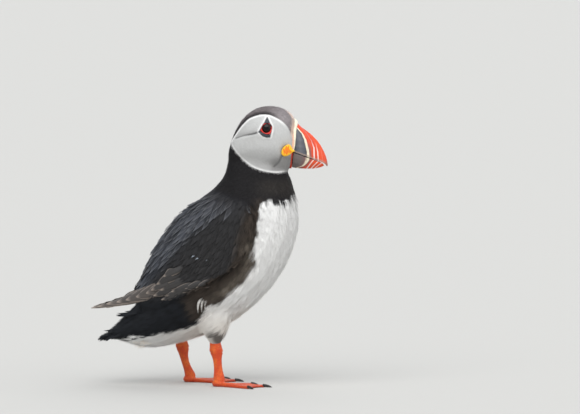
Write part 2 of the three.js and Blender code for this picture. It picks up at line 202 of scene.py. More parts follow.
def solids(names, swell=0.0):
    """One mesh of several solids, welded, with their faces moved outwards a little."""
    joined = bmesh.new()
    for name in names:
        one = bmesh.new()
        one.from_mesh(nodes[name].data)
        bmesh.ops.remove_doubles(one, verts=one.verts, dist=WELD)
        one.normal_update()
        for vertex in one.verts:
            vertex.co += vertex.normal * swell * MM
        copy = bpy.data.meshes.new("copy")
        one.to_mesh(copy)
        joined.from_mesh(copy)
        one.free()
        bpy.data.meshes.remove(copy)
    mesh = bpy.data.meshes.new("solids")
    joined.to_mesh(mesh)
    joined.free()
    return mesh


def remeshed(mesh, voxel, rounds):
    """The mesh as one even, smooth skin, with points about one voxel apart."""
    obj = piece("remesh", mesh)
    cut = obj.modifiers.new("even", "REMESH")
    cut.mode, cut.voxel_size = "VOXEL", voxel * MM
    soften = obj.modifiers.new("soften", "SMOOTH")
    soften.factor, soften.iterations = 0.5, rounds
    return evaluated(obj, "skin")


def ray_tree(mesh, points):
    """Finds quickly where a ray meets a mesh, and which face is nearest to a place."""
    return BVHTree.FromPolygons(points.tolist(), [tuple(face.vertices) for face in mesh.polygons])


WELD = 1e-6
BOTH = ("right", "left")
SIGN = {"right": -1, "left": 1}
print("corners of a solid are welded within", WELD / MM, "mm")

# %% [markdown]
# ## Curves drawn in the side view
# A puffin's markings are almost the same on both sides, so they are drawn once, as curves in the
# side view: x runs towards the bill and z runs up. A few points are enough for each curve, because
# the curve is rounded through them. The distance to a curve, positive inside it, tells every point
# of the bird where it is: on the face, on the white breast, or deep in the black.

# %% Curves and distances


def flowing(points, closed=False, steps=8):
    """More points, on a smooth curve through a few."""
    p = np.array(points, float)
    if closed:
        p = np.vstack((p[-1:], p, p[:2]))
    else:
        p = np.vstack((2 * p[:1] - p[1:2], p, 2 * p[-1:] - p[-2:-1]))
    made = []
    for a, b, c, d in zip(p, p[1:], p[2:], p[3:]):
        for t in np.arange(steps) / steps:
            cubic = (c - a) * t + (2 * a - 5 * b + 4 * c - d) * t**2 + (3 * b - a - 3 * c + d) * t**3
            made.append(b + cubic / 2)
    if not closed:
        made.append(p[-2])
    return np.array(made)


def line_distance(line, x, z):
    """The distance to a line of points, and where along it the nearest point is, from 0 to 1."""
    best = np.full(x.shape, 1e9)
    along = np.zeros(x.shape)
    for i, (a, b) in enumerate(zip(line, line[1:])):
        run = b - a
        t = np.clip(((x - a[0]) * run[0] + (z - a[1]) * run[1]) / (run @ run + 1e-12), 0, 1)
        distance = np.hypot(x - a[0] - t * run[0], z - a[1] - t * run[1])
        nearer = distance < best
        best = np.where(nearer, distance, best)
        along = np.where(nearer, (i + t) / (len(line) - 1), along)
    return best, along


def inside(outline, x, z):
    """The distance to a closed outline: positive inside, negative outside."""
    loop = np.vstack((outline, outline[:1]))
    odd = np.zeros(x.shape, bool)
    for (ax, az), (bx, bz) in zip(loop, loop[1:]):
        level = (az > z) != (bz > z)
        odd ^= level & (x < ax + (z - az) * (bx - ax) / (bz - az + 1e-12))
    distance = line_distance(loop, x, z)[0]
    return np.where(odd, distance, -distance)


def above(line, x, z):
    """How far a point is above a line that runs from left to right."""
    return z - np.interp(x, [p[0] for p in line], [p[1] for p in line])


FACE = flowing([(44.5, 217.1), (39.6, 216.1), (34.1, 213.9), (30.2, 210.5), (26.3, 206), (20, 197.2),
                (18.6, 195), (21.2, 190.4), (25.9, 184.9), (30.5, 180.3), (37, 175.8), (44.7, 172.8),
                (53.5, 171), (60, 170.9), (65.5, 172.5), (69, 183), (68.6, 194), (67, 201),
                (65.3, 205.8), (63, 209.2), (59, 212.6), (54.5, 215.1), (50.1, 216.8)], closed=True)
BREAST_EDGE = [(43.3, 147.8), (44.6, 143.9), (43.4, 135.6), (42.6, 125), (40.3, 116.5), (41.5, 107.8),
               (41.4, 102.1), (37.3, 92.6), (30.1, 85.3), (25.2, 81.2), (21, 75.3), (15.5, 70.5),
               (9, 69), (3, 62), (-1.8, 53.1), (-9.3, 49), (-26.2, 44.5), (-50.2, 38.6), (-66, 33.5)]
COLLAR_EDGE = [(55.3, 150.6), (60.5, 148.9), (65.5, 150), (72, 155)]
WHITE = np.vstack((flowing(BREAST_EDGE)[::-1], COLLAR_EDGE, [(120, 156), (120, 0), (-67, 0), (-67, 34)]))
FLANK = flowing([(47, 150), (36, 142), (30, 118), (24, 98), (12, 90), (-3, 83), (-9, 72), (0, 56),
                 (12, 66), (24, 76), (34, 85), (44, 98), (46, 125)], closed=True)
NAPE_LINE = [(-20, 164), (5, 158), (30, 150), (50, 140)]
SCAPULAR_EDGE = [(-62, 74), (-44, 82), (-33, 96), (-20, 112), (-5, 127), (6, 136), (16, 146)]
COVERT_EDGE = [(-70, 84), (-42, 79), (-28.8, 79.5), (-9.2, 84), (3.7, 87), (19.6, 92), (30, 104), (42, 120)]
EYE_CREASE = flowing([(43, 203.7), (37.7, 201.9), (29.6, 200.3), (23, 197.9)])
CHIN_CREASE = flowing([(60.5, 184.5), (58, 179.6), (54.2, 175.9)])
EYE_CENTRE = (48.9, 206.2)
EYE_PATCH = np.array([(42.9, 204), (45, 208), (47, 211), (48.6, 215), (50.6, 211), (52.3, 208), (52.3, 204),
                      (51.4, 199.8), (46.5, 200.2)])
print("curves:", len(FACE), "points round the face")

# %% [markdown]
# ## The skin
# Under its feathers a bird has one continuous skin. The solids are swollen until they overlap and
# then remeshed into a single surface, so the cuts between neck, trunk and wings disappear. The
# skin is drawn in by the depth of the coat, which is thin on the face and deep on the belly, so
# that the tips of the feathers end on the outline that the solids set.

# %% One surface from many solids
FEATHERED = ["head", "neck", "trunk", "tail"]
FEATHERED += [f"{part}_{side}" for part in ("wing", "thigh") for side in BOTH]
FILLED = ["bill_rim", "bill_rim_lower"]
FILLED += [f"{part}_{side}" for side in BOTH
           for part in ("eye_ring", "eye_plate_upper", "eye_plate_lower")]
SKIN_VOXEL = 1.5
HEAD_FLOOR, HEAD_BACK = 168, 12
EYE_REACH = 13


def refined(mesh, keep):
    """Splits each face whose middle passes the test, for finer detail there."""
    work = bmesh.new()
    work.from_mesh(mesh)
    chosen = [face for face in work.faces if keep(face.calc_center_median() / MM)]
    edges = list({edge for face in chosen for edge in face.edges})
    bmesh.ops.subdivide_edges(work, edges=edges, cuts=1, use_grid_fill=True)
    bmesh.ops.triangulate(work, faces=[face for face in work.faces if len(face.verts) > 4])
    work.to_mesh(mesh)
    work.free()
    return mesh


def near_eye(p):
    return math.hypot(p.x - EYE_CENTRE[0] + 3, p.z - EYE_CENTRE[1]) < EYE_REACH and abs(p.y) > 8


skin_mesh = remeshed(solids(FEATHERED + FILLED, swell=0.28), SKIN_VOXEL, 12)
refined(skin_mesh, lambda p: p.z > HEAD_FLOOR and p.x > HEAD_BACK)
refined(skin_mesh, near_eye)
print("skin:", len(skin_mesh.vertices), "points,", len(skin_mesh.polygons), "faces")

# %% [markdown]
# ## Drawing the skin in
# The coat is thin on the face and deep on the belly. Where the body itself is thin, as along the
# edge of the folded wing, the skin may only be drawn in by part of that thickness, or it would
# turn inside out. A ray through each point measures how thick the body is there.

# %% Draw the skin in and fold it round the eye
COAT_DEPTH = {"face": 0.55, "cap": 1.1, "neck": 1.9, "body": 2.8}
THICKNESS_SHARE, THROAT_FULLNESS = 0.3, 2.4


def thickness(mesh, points, normals):
    tree = ray_tree(mesh, points)
    deep = np.full(len(points), 30.0)
    for i in range(0, len(points)):
        hit = tree.ray_cast(Vector(points[i] - normals[i] * 0.05), Vector(-normals[i]), 30)
        if hit[3] is not None:
            deep[i] = hit[3]
    return deep


def crease(line, x, z, width, depth, lip):
    """A groove along a line, with a low soft swelling below it."""
    distance, along = line_distance(line, x, z)
    fade = np.sin(np.clip(along * 0.85 + 0.12, 0, 1) * math.pi) ** 0.5
    below = smooth(-above(line[np.argsort(line[:, 0])], x, z), -width, width)
    groove = -depth * soft_band(distance, width)
    return fade * (groove + lip * below * soft_band(distance, width * 5))


# The swelling round the eye: its height, its distance from the eye's centre and its width.
LID = (0.55, 5.2, 1.5)
points = points_of(skin_mesh) / MM
normals = normals_of(skin_mesh)
x, y, z = points.T
face = smooth(inside(FACE, x, z), -1, 1.5) * (z > 160)
on_head = smooth(z, 166, 176) * smooth(x, 5, 20)
on_neck = smooth(above(NAPE_LINE, x, z), -18, 10)
depth = COAT_DEPTH["body"] + (COAT_DEPTH["neck"] - COAT_DEPTH["body"]) * on_neck
depth += (COAT_DEPTH["cap"] - depth) * on_head
depth += (COAT_DEPTH["face"] - depth) * face
depth = np.minimum(depth, THICKNESS_SHARE * thickness(skin_mesh, points, normals))
relief = crease(EYE_CREASE, x, z, 0.8, 0.9, 0.7) + crease(CHIN_CREASE, x, z, 0.7, 0.6, 0.25)
eye_distance = np.hypot(x - EYE_CENTRE[0], z - EYE_CENTRE[1])
relief += LID[0] * soft_band(eye_distance - LID[1], LID[2])
points += normals * (relief * face * (np.abs(y) > 8) - depth)[:, None]
throat = smooth(x, 40, 52) * smooth(z, 138, 150) * smooth(-z, -176, -168) * smooth(normals[:, 0], 0.1, 0.7)
points[:, 0] += THROAT_FULLNESS * throat
move_points(skin_mesh, points * MM)
print("coat depth:", round(depth.min(), 2), "to", round(depth.max(), 2), "mm")

# %% [markdown]
# The bare legs and feet belong to the same skin. They are remeshed more finely, because the toes
# are thin, and carry no coat, so nothing is drawn in. Their upper ends are stretched upwards, so
# that they run on into the feathered thighs without a gap.

# %% Legs and feet
LEG_VOXEL, LEG_TOP, LEG_REACH = 0.55, 24, 10
# Height, half width and depth of the thick ankle, and depth and spacing of its wrinkles.
KNOB, WRINKLE = (28.5, 4.0, 1.05), (0.34, 2.0)
leg_names = [f"{part}_{side}" for side in BOTH for part in ("leg", "foot")]
leg_mesh = remeshed(solids(leg_names, swell=0.24), LEG_VOXEL, 3)
leg_points = points_of(leg_mesh) / MM
tall = np.clip((leg_points[:, 2] - LEG_TOP) / 8, 0, 1)
leg_points[:, 2] += tall * LEG_REACH
leg_points[:, 0] -= tall * 1.5
ring = soft_band(leg_points[:, 2] - KNOB[0], KNOB[1])
swell = ring * (KNOB[2] + WRINKLE[0] * np.sin(leg_points[:, 2] * 2 * math.pi / WRINKLE[1]))
leg_points += normals_of(leg_mesh) * (1, 1, 0.3) * swell[:, None]
leg_points[:, 2] = np.maximum(leg_points[:, 2], 0)
move_points(leg_mesh, leg_points * MM)
body_count = len(skin_mesh.vertices)
joined = bmesh.new()
joined.from_mesh(skin_mesh)
joined.from_mesh(leg_mesh)
joined.to_mesh(skin_mesh)
joined.free()
bare = (np.arange(len(skin_mesh.vertices)) >= body_count).astype(float)
store(skin_mesh, "bare", bare)
bare_faces = [face.vertices[0] >= body_count for face in skin_mesh.polygons]
skin_mesh.polygons.foreach_set("material_index", np.array(bare_faces, np.int32))
print("legs:", len(leg_mesh.vertices), "points; one skin of", len(skin_mesh.vertices))

# %% [markdown]
# ## The lie of the plumage
# Feathers point away from the bill, down the neck and back along the body to the tail, so that
# wind and water slide over them. A few arrows, placed where the direction changes, are blended by
# their nearness, and the result is laid flat on the skin.

# %% Which way the feathers lie
# Each arrow: its place (x, z), and the direction (x, z) in which a feather points there.
ARROWS = [
    (68, 203, -0.75, 0.66), (60, 214, -0.93, 0.36), (45, 220, -1, 0), (30, 216, -0.85, -0.5),
    (18, 203, -0.5, -0.87), (55, 200, -1, 0.05), (40, 195, -1, -0.1), (28, 195, -0.95, -0.3),
    (62, 185, -0.95, -0.3), (50, 180, -0.9, -0.42), (60, 173, -0.75, -0.65), (35, 183, -0.85, -0.5),
    (12, 185, -0.25, -0.97), (8, 170, -0.3, -0.95), (35, 165, -0.2, -0.98), (62, 160, 0.05, -1),
    (20, 150, -0.35, -0.94), (70, 140, 0.05, -1), (78, 118, -0.08, -1), (60, 115, -0.1, -1),
    (50, 145, -0.05, -1), (70, 92, -0.4, -0.92), (50, 90, -0.4, -0.92), (45, 74, -0.75, -0.66),
    (20, 60, -0.9, -0.42), (-10, 45, -0.97, -0.25), (-50, 37, -1, -0.1), (-70, 34, -1, -0.05),
    (0, 150, -0.6, -0.8), (-20, 130, -0.62, -0.78), (10, 120, -0.55, -0.83), (30, 118, -0.35, -0.94),
    (-30, 105, -0.62, -0.78), (0, 92, -0.8, -0.6), (28, 98, -0.55, -0.83), (-40, 88, -0.75, -0.66),
    (-60, 70, -0.85, -0.5), (15, 80, -0.75, -0.66), (-5, 66, -0.85, -0.52), (-30, 58, -0.9, -0.43),
    (-60, 50, -0.93, -0.37), (-80, 42, -0.95, -0.3),
]


def lie_at(points, normals):
    """The direction of the feathers, flat on the skin."""
    total = np.zeros((len(points), 3))
    for ax, az, dx, dz in ARROWS:
        weight = 1 / ((points[:, 0] - ax) ** 2 + (points[:, 2] - az) ** 2 + 16) ** 1.5
        total[:, 0] += weight * dx
        total[:, 2] += weight * dz
    total -= normals * (total * normals).sum(1)[:, None]
    return total / (np.linalg.norm(total, axis=1)[:, None] + 1e-9)


# %% [markdown]
# ## Colours of the plumage
# Black, white and grey are never flat on a living bird. The crown is a brownish grey, the collar is
# nearly black and the flank is brown. A blue sheen on the back, a highlight along the forehead's
# ridge, shade on the lower face and in its creases, and part of the white along the face's edge are
# painted light and shade. The skin and every feather take their colour from the same rule, so that
# no gap between feathers ever shows.

# %% Colours by place
PALE_FACE, SHADED_FACE = (0.53, 0.53, 0.52), (0.27, 0.265, 0.26)
CROWN, NAPE, COLLAR = (0.185, 0.160, 0.163), (0.040, 0.036, 0.040), (0.010, 0.009, 0.010)
MANTLE, WING, RUMP = (0.013, 0.0135, 0.0155), (0.0125, 0.012, 0.0125), (0.0065, 0.008, 0.011)
# The first colour is a painted blue sheen on the upper back.
BACK_SHEEN, BROW = (0.030, 0.033, 0.041), (0.40, 0.37, 0.375)
BROWN, SNOW, TAN = (0.050, 0.038, 0.029), (0.87, 0.865, 0.85), (0.80, 0.73, 0.64)
# The second colour is a painted highlight along the ridge of the forehead.
FOREHEAD, RIDGE_HIGHLIGHT, FRINGE = (0.74, 0.58, 0.48), (0.70, 0.67, 0.67), (0.21, 0.18, 0.145)
THROAT, THIGH_DARK = (0.030, 0.026, 0.023), (0.06, 0.055, 0.05)
# The first two are painted shade in the creases by the eye and under the chin.
EYE_CREASE_SHADE, CHIN_CREASE_SHADE, EYE_DARK = (0.05, 0.05, 0.05), (0.06, 0.06, 0.06), (0.03, 0.02, 0.02)
# The dark spot on the thighs: its place on the near one, how far back it is on the other, and its sizes.
THIGH_PATCH, PATCH_BACK, PATCH_SIZES = (11.6, 39.0), 28, (7.0, 4.2)
NAPE_STRIP, FACE_FLOOR = 4.2, 165
RIM_HEIGHTS, RIM_HALVES = (187, 200, 207, 213.8), (8.7, 8, 5.5, 1.5)


def layered(count, ground, layers):
    """One colour for all points, with others laid over it in turn."""
    colours = np.tile(np.array(ground), (count, 1))
    for other, amount in layers:
        colours = colours + (np.array(other) - colours) * np.clip(amount, 0, 1)[:, None]
    return colours


def ripple(points, size, seed):
    """A smooth random pattern between -1 and 1, a few waves added together."""
    rng = np.random.default_rng(seed)
    total = np.zeros(len(points))
    for _ in range(6):
        wave = rng.normal(size=3)
        wave *= rng.uniform(0.7, 1.6) / size / np.linalg.norm(wave)
        total += np.sin(points @ wave + rng.uniform(0, 6.28))
    return total / 3


def face_edge(x, y, z):
    """How far inside the pale face a point lies. A dark strip runs down the middle of the nape."""
    beside = np.where(x < 36, np.abs(y) - NAPE_STRIP, 99)
    return np.minimum(inside(FACE, x, z), beside)


def white_colours(x, y, z):
    """The white of the underside, which is tan near the tail and dark on the thighs."""
    patch_x, patch_z = x - THIGH_PATCH[0], z - THIGH_PATCH[1]
    patch = soft_band(np.hypot(patch_x, patch_z), PATCH_SIZES[0]) * (y < 0)
    patch += soft_band(np.hypot(patch_x + PATCH_BACK, patch_z), PATCH_SIZES[1]) * (y > 0)
    return layered(len(x), SNOW, [
        (TAN, 0.8 * smooth(-z, -75, -38) * smooth(x, -40, 30)),
        (THIGH_DARK, 0.92 * np.minimum(1.5 * patch, 1) * smooth(np.abs(y), 13, 17))])


def face_colours(x, y, z):
    """The pale face, with painted shade towards chin and nape and in the creases, and white round the
    eye. Along the face's edge the white is partly its own pale edge and partly a painted highlight.
    """
    shade = smooth(x, 48, 60) * smooth(-z, -189, -177) + 0.6 * smooth(-z, -198, -177)
    shade += 0.25 * smooth(x, 46, 26) * (z > 201)
    crease_distance, along = line_distance(EYE_CREASE, x, z)
    thin = 0.35 + 0.4 * smooth(x, 28, 42)
    patch = inside(EYE_PATCH, x, z)
    return layered(len(x), PALE_FACE, [
        (SHADED_FACE, shade),
        # Painted shade above the eye crease, and darker painted shade in the eye and chin creases.
        (SHADED_FACE, 0.55 * soft_band(crease_distance, 3.2) * smooth(above(EYE_CREASE[::-1], x, z), -1, 1)),
        (EYE_CREASE_SHADE, 0.85 * soft_band(crease_distance, thin) * (along < 0.98)),
        (CHIN_CREASE_SHADE, 0.7 * soft_band(line_distance(CHIN_CREASE, x, z)[0], 0.7)),
        (SNOW, 0.85 * soft_band(patch + 1.2, 0.6)),
        (EYE_DARK, smooth(patch, -0.5, 0)),
        # White along the face's edge: partly its own paler edge, partly a painted rim highlight.
        (SNOW, 0.85 * soft_band(face_edge(x, y, z) - 0.6, 0.75) * smooth(-x, -66, -58))])


def plumage_colours(points):
    """Every colour of the bird, laid over one another from the mantle to the face."""
    x, y, z = points.T
    wide = np.abs(y)
    ragged = ripple(points, 1.1, 5)
    edge, white = face_edge(x, y, z), inside(WHITE, x, z)
    crown = smooth(inside(FACE, x, z), -19, -2) * smooth(z, 196, 214)
    by_rim = smooth(np.interp(z, RIM_HEIGHTS, RIM_HALVES) - wide, -3.2, -1.6)
    fringe = soft_band(white + 3.5, 3.5) * smooth(z, 70, 84) * smooth(-z, -125, -112)
    colours = layered(len(x), MANTLE, [
        (WING, smooth(wide, 30, 45) * smooth(z, 70, 90)),
        # Painted blue sheen on the upper back.
        (BACK_SHEEN, 0.8 * smooth(above(SCAPULAR_EDGE, x, z), -3, 6)),
        (RUMP, smooth(-above(COVERT_EDGE, x, z), 3, 9)),
        (COLLAR, smooth(above(NAPE_LINE, x, z), -12, 4)),
        (NAPE, smooth(z, 188, 204) * smooth(x, -5, 30)),
        (CROWN, crown),
        (BROW, 0.6 * crown * smooth(x, 46, 65)),
        (COLLAR, 0.9 * soft_band(edge + 0.8, 1.5) * smooth(-x, -60, -50)),
        (FOREHEAD, 0.9 * smooth(x, 63.4, 65.4) * smooth(z, 186, 192) * by_rim),
        # Painted highlight along the ridge of the forehead.
        (RIDGE_HIGHLIGHT, 0.75 * smooth(x, 57, 65) * smooth(z, 200, 206) * smooth(-wide, -3.5, -1.0)),
        (BROWN, 0.85 * smooth(inside(FLANK, x, z) + ragged * 1.5, -4, 4)),
        (FRINGE, 0.95 * fringe * (0.5 + 0.5 * ripple(points, 0.7, 9))),
        (THROAT, 0.7 * smooth(x, 34, 52) * smooth(z, 150, 158) * smooth(-z, -170, -162)),
        (white_colours(x, y, z), smooth(white + ragged * 0.9, -0.5, 0.7)),
        (face_colours(x, y, z), smooth(edge, -0.35, 0.35) * (z > FACE_FLOOR))])
    return np.clip(colours, 0, 1)


def region_fields(points):
    """How much of each coat grows at each point, from 0 to 1."""
    x, y, z = points.T
    edge, in_white, in_flank = face_edge(x, y, z), inside(WHITE, x, z), inside(FLANK, x, z)
    face = smooth(edge, -0.6, 0.2) * (z > FACE_FLOOR) * (inside(EYE_PATCH, x, z) < -0.4)
    white = smooth(in_white, -1.5, 0.5)
    flank = smooth(in_flank, -1.5, 1) * (np.abs(y) > 18)
    dark = smooth(-edge, 0.7, 1.5) * (1 - smooth(in_white, -0.8, 0.8))
    high = smooth(above(NAPE_LINE, x, z), -6, 4)
    low = smooth(-above(COVERT_EDGE, x, z), -1, 2)
    cloak = dark * (1 - high) * (1 - low) * (1 - 0.9 * flank)
    below = smooth(-z, -84, -72)
    ankle = smooth(-z, -45, -41) * smooth(x, -4, -1) * smooth(-y, 8, 11)
    back = smooth(above(SCAPULAR_EDGE, x, z), -3, 2)
    at_tertials = soft_band(np.hypot(x + 38, z - 97), 11) * (np.abs(y) > 18)
    return {"scapular": cloak * back * (1 - at_tertials), "covert": cloak * (1 - back),
            "face": face, "cap": dark * high, "cloak": cloak, "rump": dark * low * (1 - high),
            "flank": flank * (1 - 0.6 * white), "breast": white * (1 - below),
            "belly": white * below * (1 - ankle)}


skin_points, skin_normals = points_of(skin_mesh) / MM, normals_of(skin_mesh)
skin_colours = plumage_colours(skin_points)
store(skin_mesh, "lie", lie_at(skin_points, skin_normals))
store(skin_mesh, "outward", skin_normals)
store(skin_mesh, "size", np.ones(len(skin_points)))
store(skin_mesh, "plumage", np.hstack((skin_colours, np.ones((len(skin_colours), 1)))))
for name, values in region_fields(skin_points).items():
    values *= 1 - bare
    store(skin_mesh, name, values)
    print(name, "covers", round(float(values.mean()), 3), "of the points")

# %% [markdown]
# ## An unwrap of the skin
# A feather is too small to have its own place in a picture of the colours. Each one gets a tiny
# patch at the place of its root, on a flat unwrap of the skin. The unwrap follows the skin's own
# shape, so neighbours on the bird stay neighbours on the map.

# %% Unwrap the skin
skin_object = piece("skin", skin_mesh)
skin_mesh.uv_layers.new(name="OFBake")
bpy.context.view_layer.objects.active = skin_object
skin_object.select_set(True)
bpy.ops.object.mode_set(mode="EDIT")
bpy.ops.mesh.select_all(action="SELECT")
bpy.ops.uv.smart_project(angle_limit=math.radians(66), island_margin=0.002)
bpy.ops.object.mode_set(mode="OBJECT")
skin_object.select_set(False)
print("unwrapped", len(skin_mesh.polygons), "faces")

# %% [markdown]
# ## Shapes of single feathers
# A flight or wing feather is a firm vane: one curved sheet with a shaft. A body feather is softer,
# and its ends fray into separate strands. On the face the feathers are hardly more than short
# bristles. Each shape is modelled once, one unit long, with as few faces as it can have, because it
# will be repeated thousands of times. Three numbers travel with every point: how far along the
# feather it is, how far across, and how high it rises.

# %% Feather shapes


def blade(sheet, rows, columns, outline, root=(0, 0), heading=0.0, size=(1, 1), rise=(0, 1), camber=0.0,
          bend=0.0):
    """Adds one flat blade. The outline gives its half width at each share of its length."""
    first = len(sheet["points"])
    for t in rows:
        for c in np.linspace(-1, 1, columns + 1):
            across, along = c * outline(t) * size[0] / 2, t * size[1]
            turn = heading + bend * t
            px = root[0] + across * math.cos(turn) + along * math.sin(turn)
            py = root[1] - across * math.sin(turn) + along * math.cos(turn)
            sheet["points"].append((px, py, 0))
            sheet["along"].append(t)
            sheet["across"].append(c)
            sheet["rise"].append(rise[0] + (rise[1] - rise[0]) * t - camber * c * c)
    for i in range(len(rows) - 1):
        for j in range(columns):
            corner = first + i * (columns + 1) + j
            sheet["faces"].append((corner, corner + 1, corner + columns + 2, corner + columns + 1))


def feather(name, *blades):
    """One feather as an object of its own, with the numbers that its points carry."""
    sheet = {"points": [], "faces": [], "along": [], "across": [], "rise": []}
    for facts in blades:
        blade(sheet, **facts)
    mesh = bpy.data.meshes.new(name)
    mesh.from_pydata(sheet["points"], [], sheet["faces"])
    for number in ("along", "across", "rise"):
        store(mesh, number, sheet[number])
    print(name, len(mesh.polygons), "faces")
    return piece(name, mesh)


def rounded(t):
    return min(1, 0.15 + 2.0 * t) * math.sqrt(max(0, 1 - t**5))


def pointed(t):
    return min(1, 0.12 + 1.9 * t) * max(0.02, 1 - t**2.6)


def hair(t):
    return max(0.06, 1 - t**1.6)


def plume(name, strands, spread, width, seed):
    """A soft feather: strands that fan out from one root."""
    rng = np.random.default_rng(seed)
    fan = []
    for share in np.linspace(-1, 1, strands):
        lift = rng.uniform(0.5, 1.1)
        fan.append(dict(rows=(0, 0.45, 0.8, 1), columns=1, outline=hair, root=(share * 0.16, 0),
                        heading=share * spread + rng.normal() * 0.05, bend=rng.normal() * 0.12,
                        size=(width, rng.uniform(0.75, 1.0) * (1 - 0.15 * share**2)),
                        rise=(0, lift)))
    return feather(name, *fan)


VANE = feather("vane", dict(rows=(0, 0.25, 0.55, 0.8, 0.93, 1), columns=4, outline=rounded, camber=0.22))
LANCE = feather("lance", dict(rows=(0, 0.2, 0.45, 0.7, 0.88, 1), columns=4, outline=pointed, camber=0.2))
SOFT = plume("soft", 7, 0.30, 0.16, 11)
WISP = plume("wisp", 5, 0.26, 0.09, 12)
BRISTLE = plume("bristle", 3, 0.22, 0.16, 13)

# %% [markdown]
# ## A coat of feathers
# One tree of Geometry Nodes grows every coat. It scatters roots over a region of the skin, turns a
# feather to the lie of the plumage at each root, and then lays the feather against the skin: each
# of its points moves to the nearest place on the skin and is raised from there by its own rise.
# That makes a long feather follow the round of the body, which a stiff copy could not do.

# %% Helpers for node trees


def socket(sockets, key):
    if isinstance(key, int):
        return sockets[key]
    return next(s for s in sockets if s.name == key and s.enabled)


def add(tree, kind, inputs=None, **settings):
    """Adds a node. An input that is given a node or a socket is linked, any other value is set."""
    node = tree.nodes.new(kind)
    for key, value in settings.items():
        setattr(node, key, value)
    for key, value in (inputs or {}).items():
        target = socket(node.inputs, key)
        if isinstance(value, bpy.types.Node):
            value = next(s for s in value.outputs if s.enabled)
        if isinstance(value, bpy.types.NodeSocket):
            tree.links.new(value, target)
        else:
            target.default_value = value
    return node


def math_node(tree, operation, *values):
    return add(tree, "ShaderNodeMath", dict(enumerate(values)), operation=operation)


def times(tree, first, second):
    return math_node(tree, "MULTIPLY", first, second)


def times_plus(tree, first, second, third):
    return math_node(tree, "MULTIPLY_ADD", first, second, third)


def scaled(tree, vector, amount):
    return add(tree, "ShaderNodeVectorMath", {0: vector, "Scale": amount}, operation="SCALE").outputs[0]


def added(tree, first, second):
    return add(tree, "ShaderNodeVectorMath", {0: first, 1: second}, operation="ADD")


def new_group(name, kind, inputs, outputs):
    """A node group with named inputs and outputs."""
    tree = bpy.data.node_groups.new(name, kind)
    for way, sockets in (("INPUT", inputs), ("OUTPUT", outputs)):
        for title, socket_kind in sockets.items():
            tree.interface.new_socket(name=title, in_out=way, socket_type="NodeSocket" + socket_kind)
    return tree, tree.nodes.new("NodeGroupInput").outputs, tree.nodes.new("NodeGroupOutput").inputs


# %% The tree that grows a coat
COAT_INPUTS = {
    "Geometry": "Geometry", "Skin": "Object", "Feather": "Object", "Region": "String",
    "Spacing": "Float", "Length": "Float", "Width": "Float", "Lift": "Float", "Sink": "Float",
    "Wander": "Float", "Vary": "Float", "Seed": "Int", "Material": "Material",
}
ROOTS_PER_SPACING = 2.5
# A feather's layer lifts it between these shares of its length, so that its root stays hidden.
LIFT_FROM, LIFT_TO = 0.28, 0.75


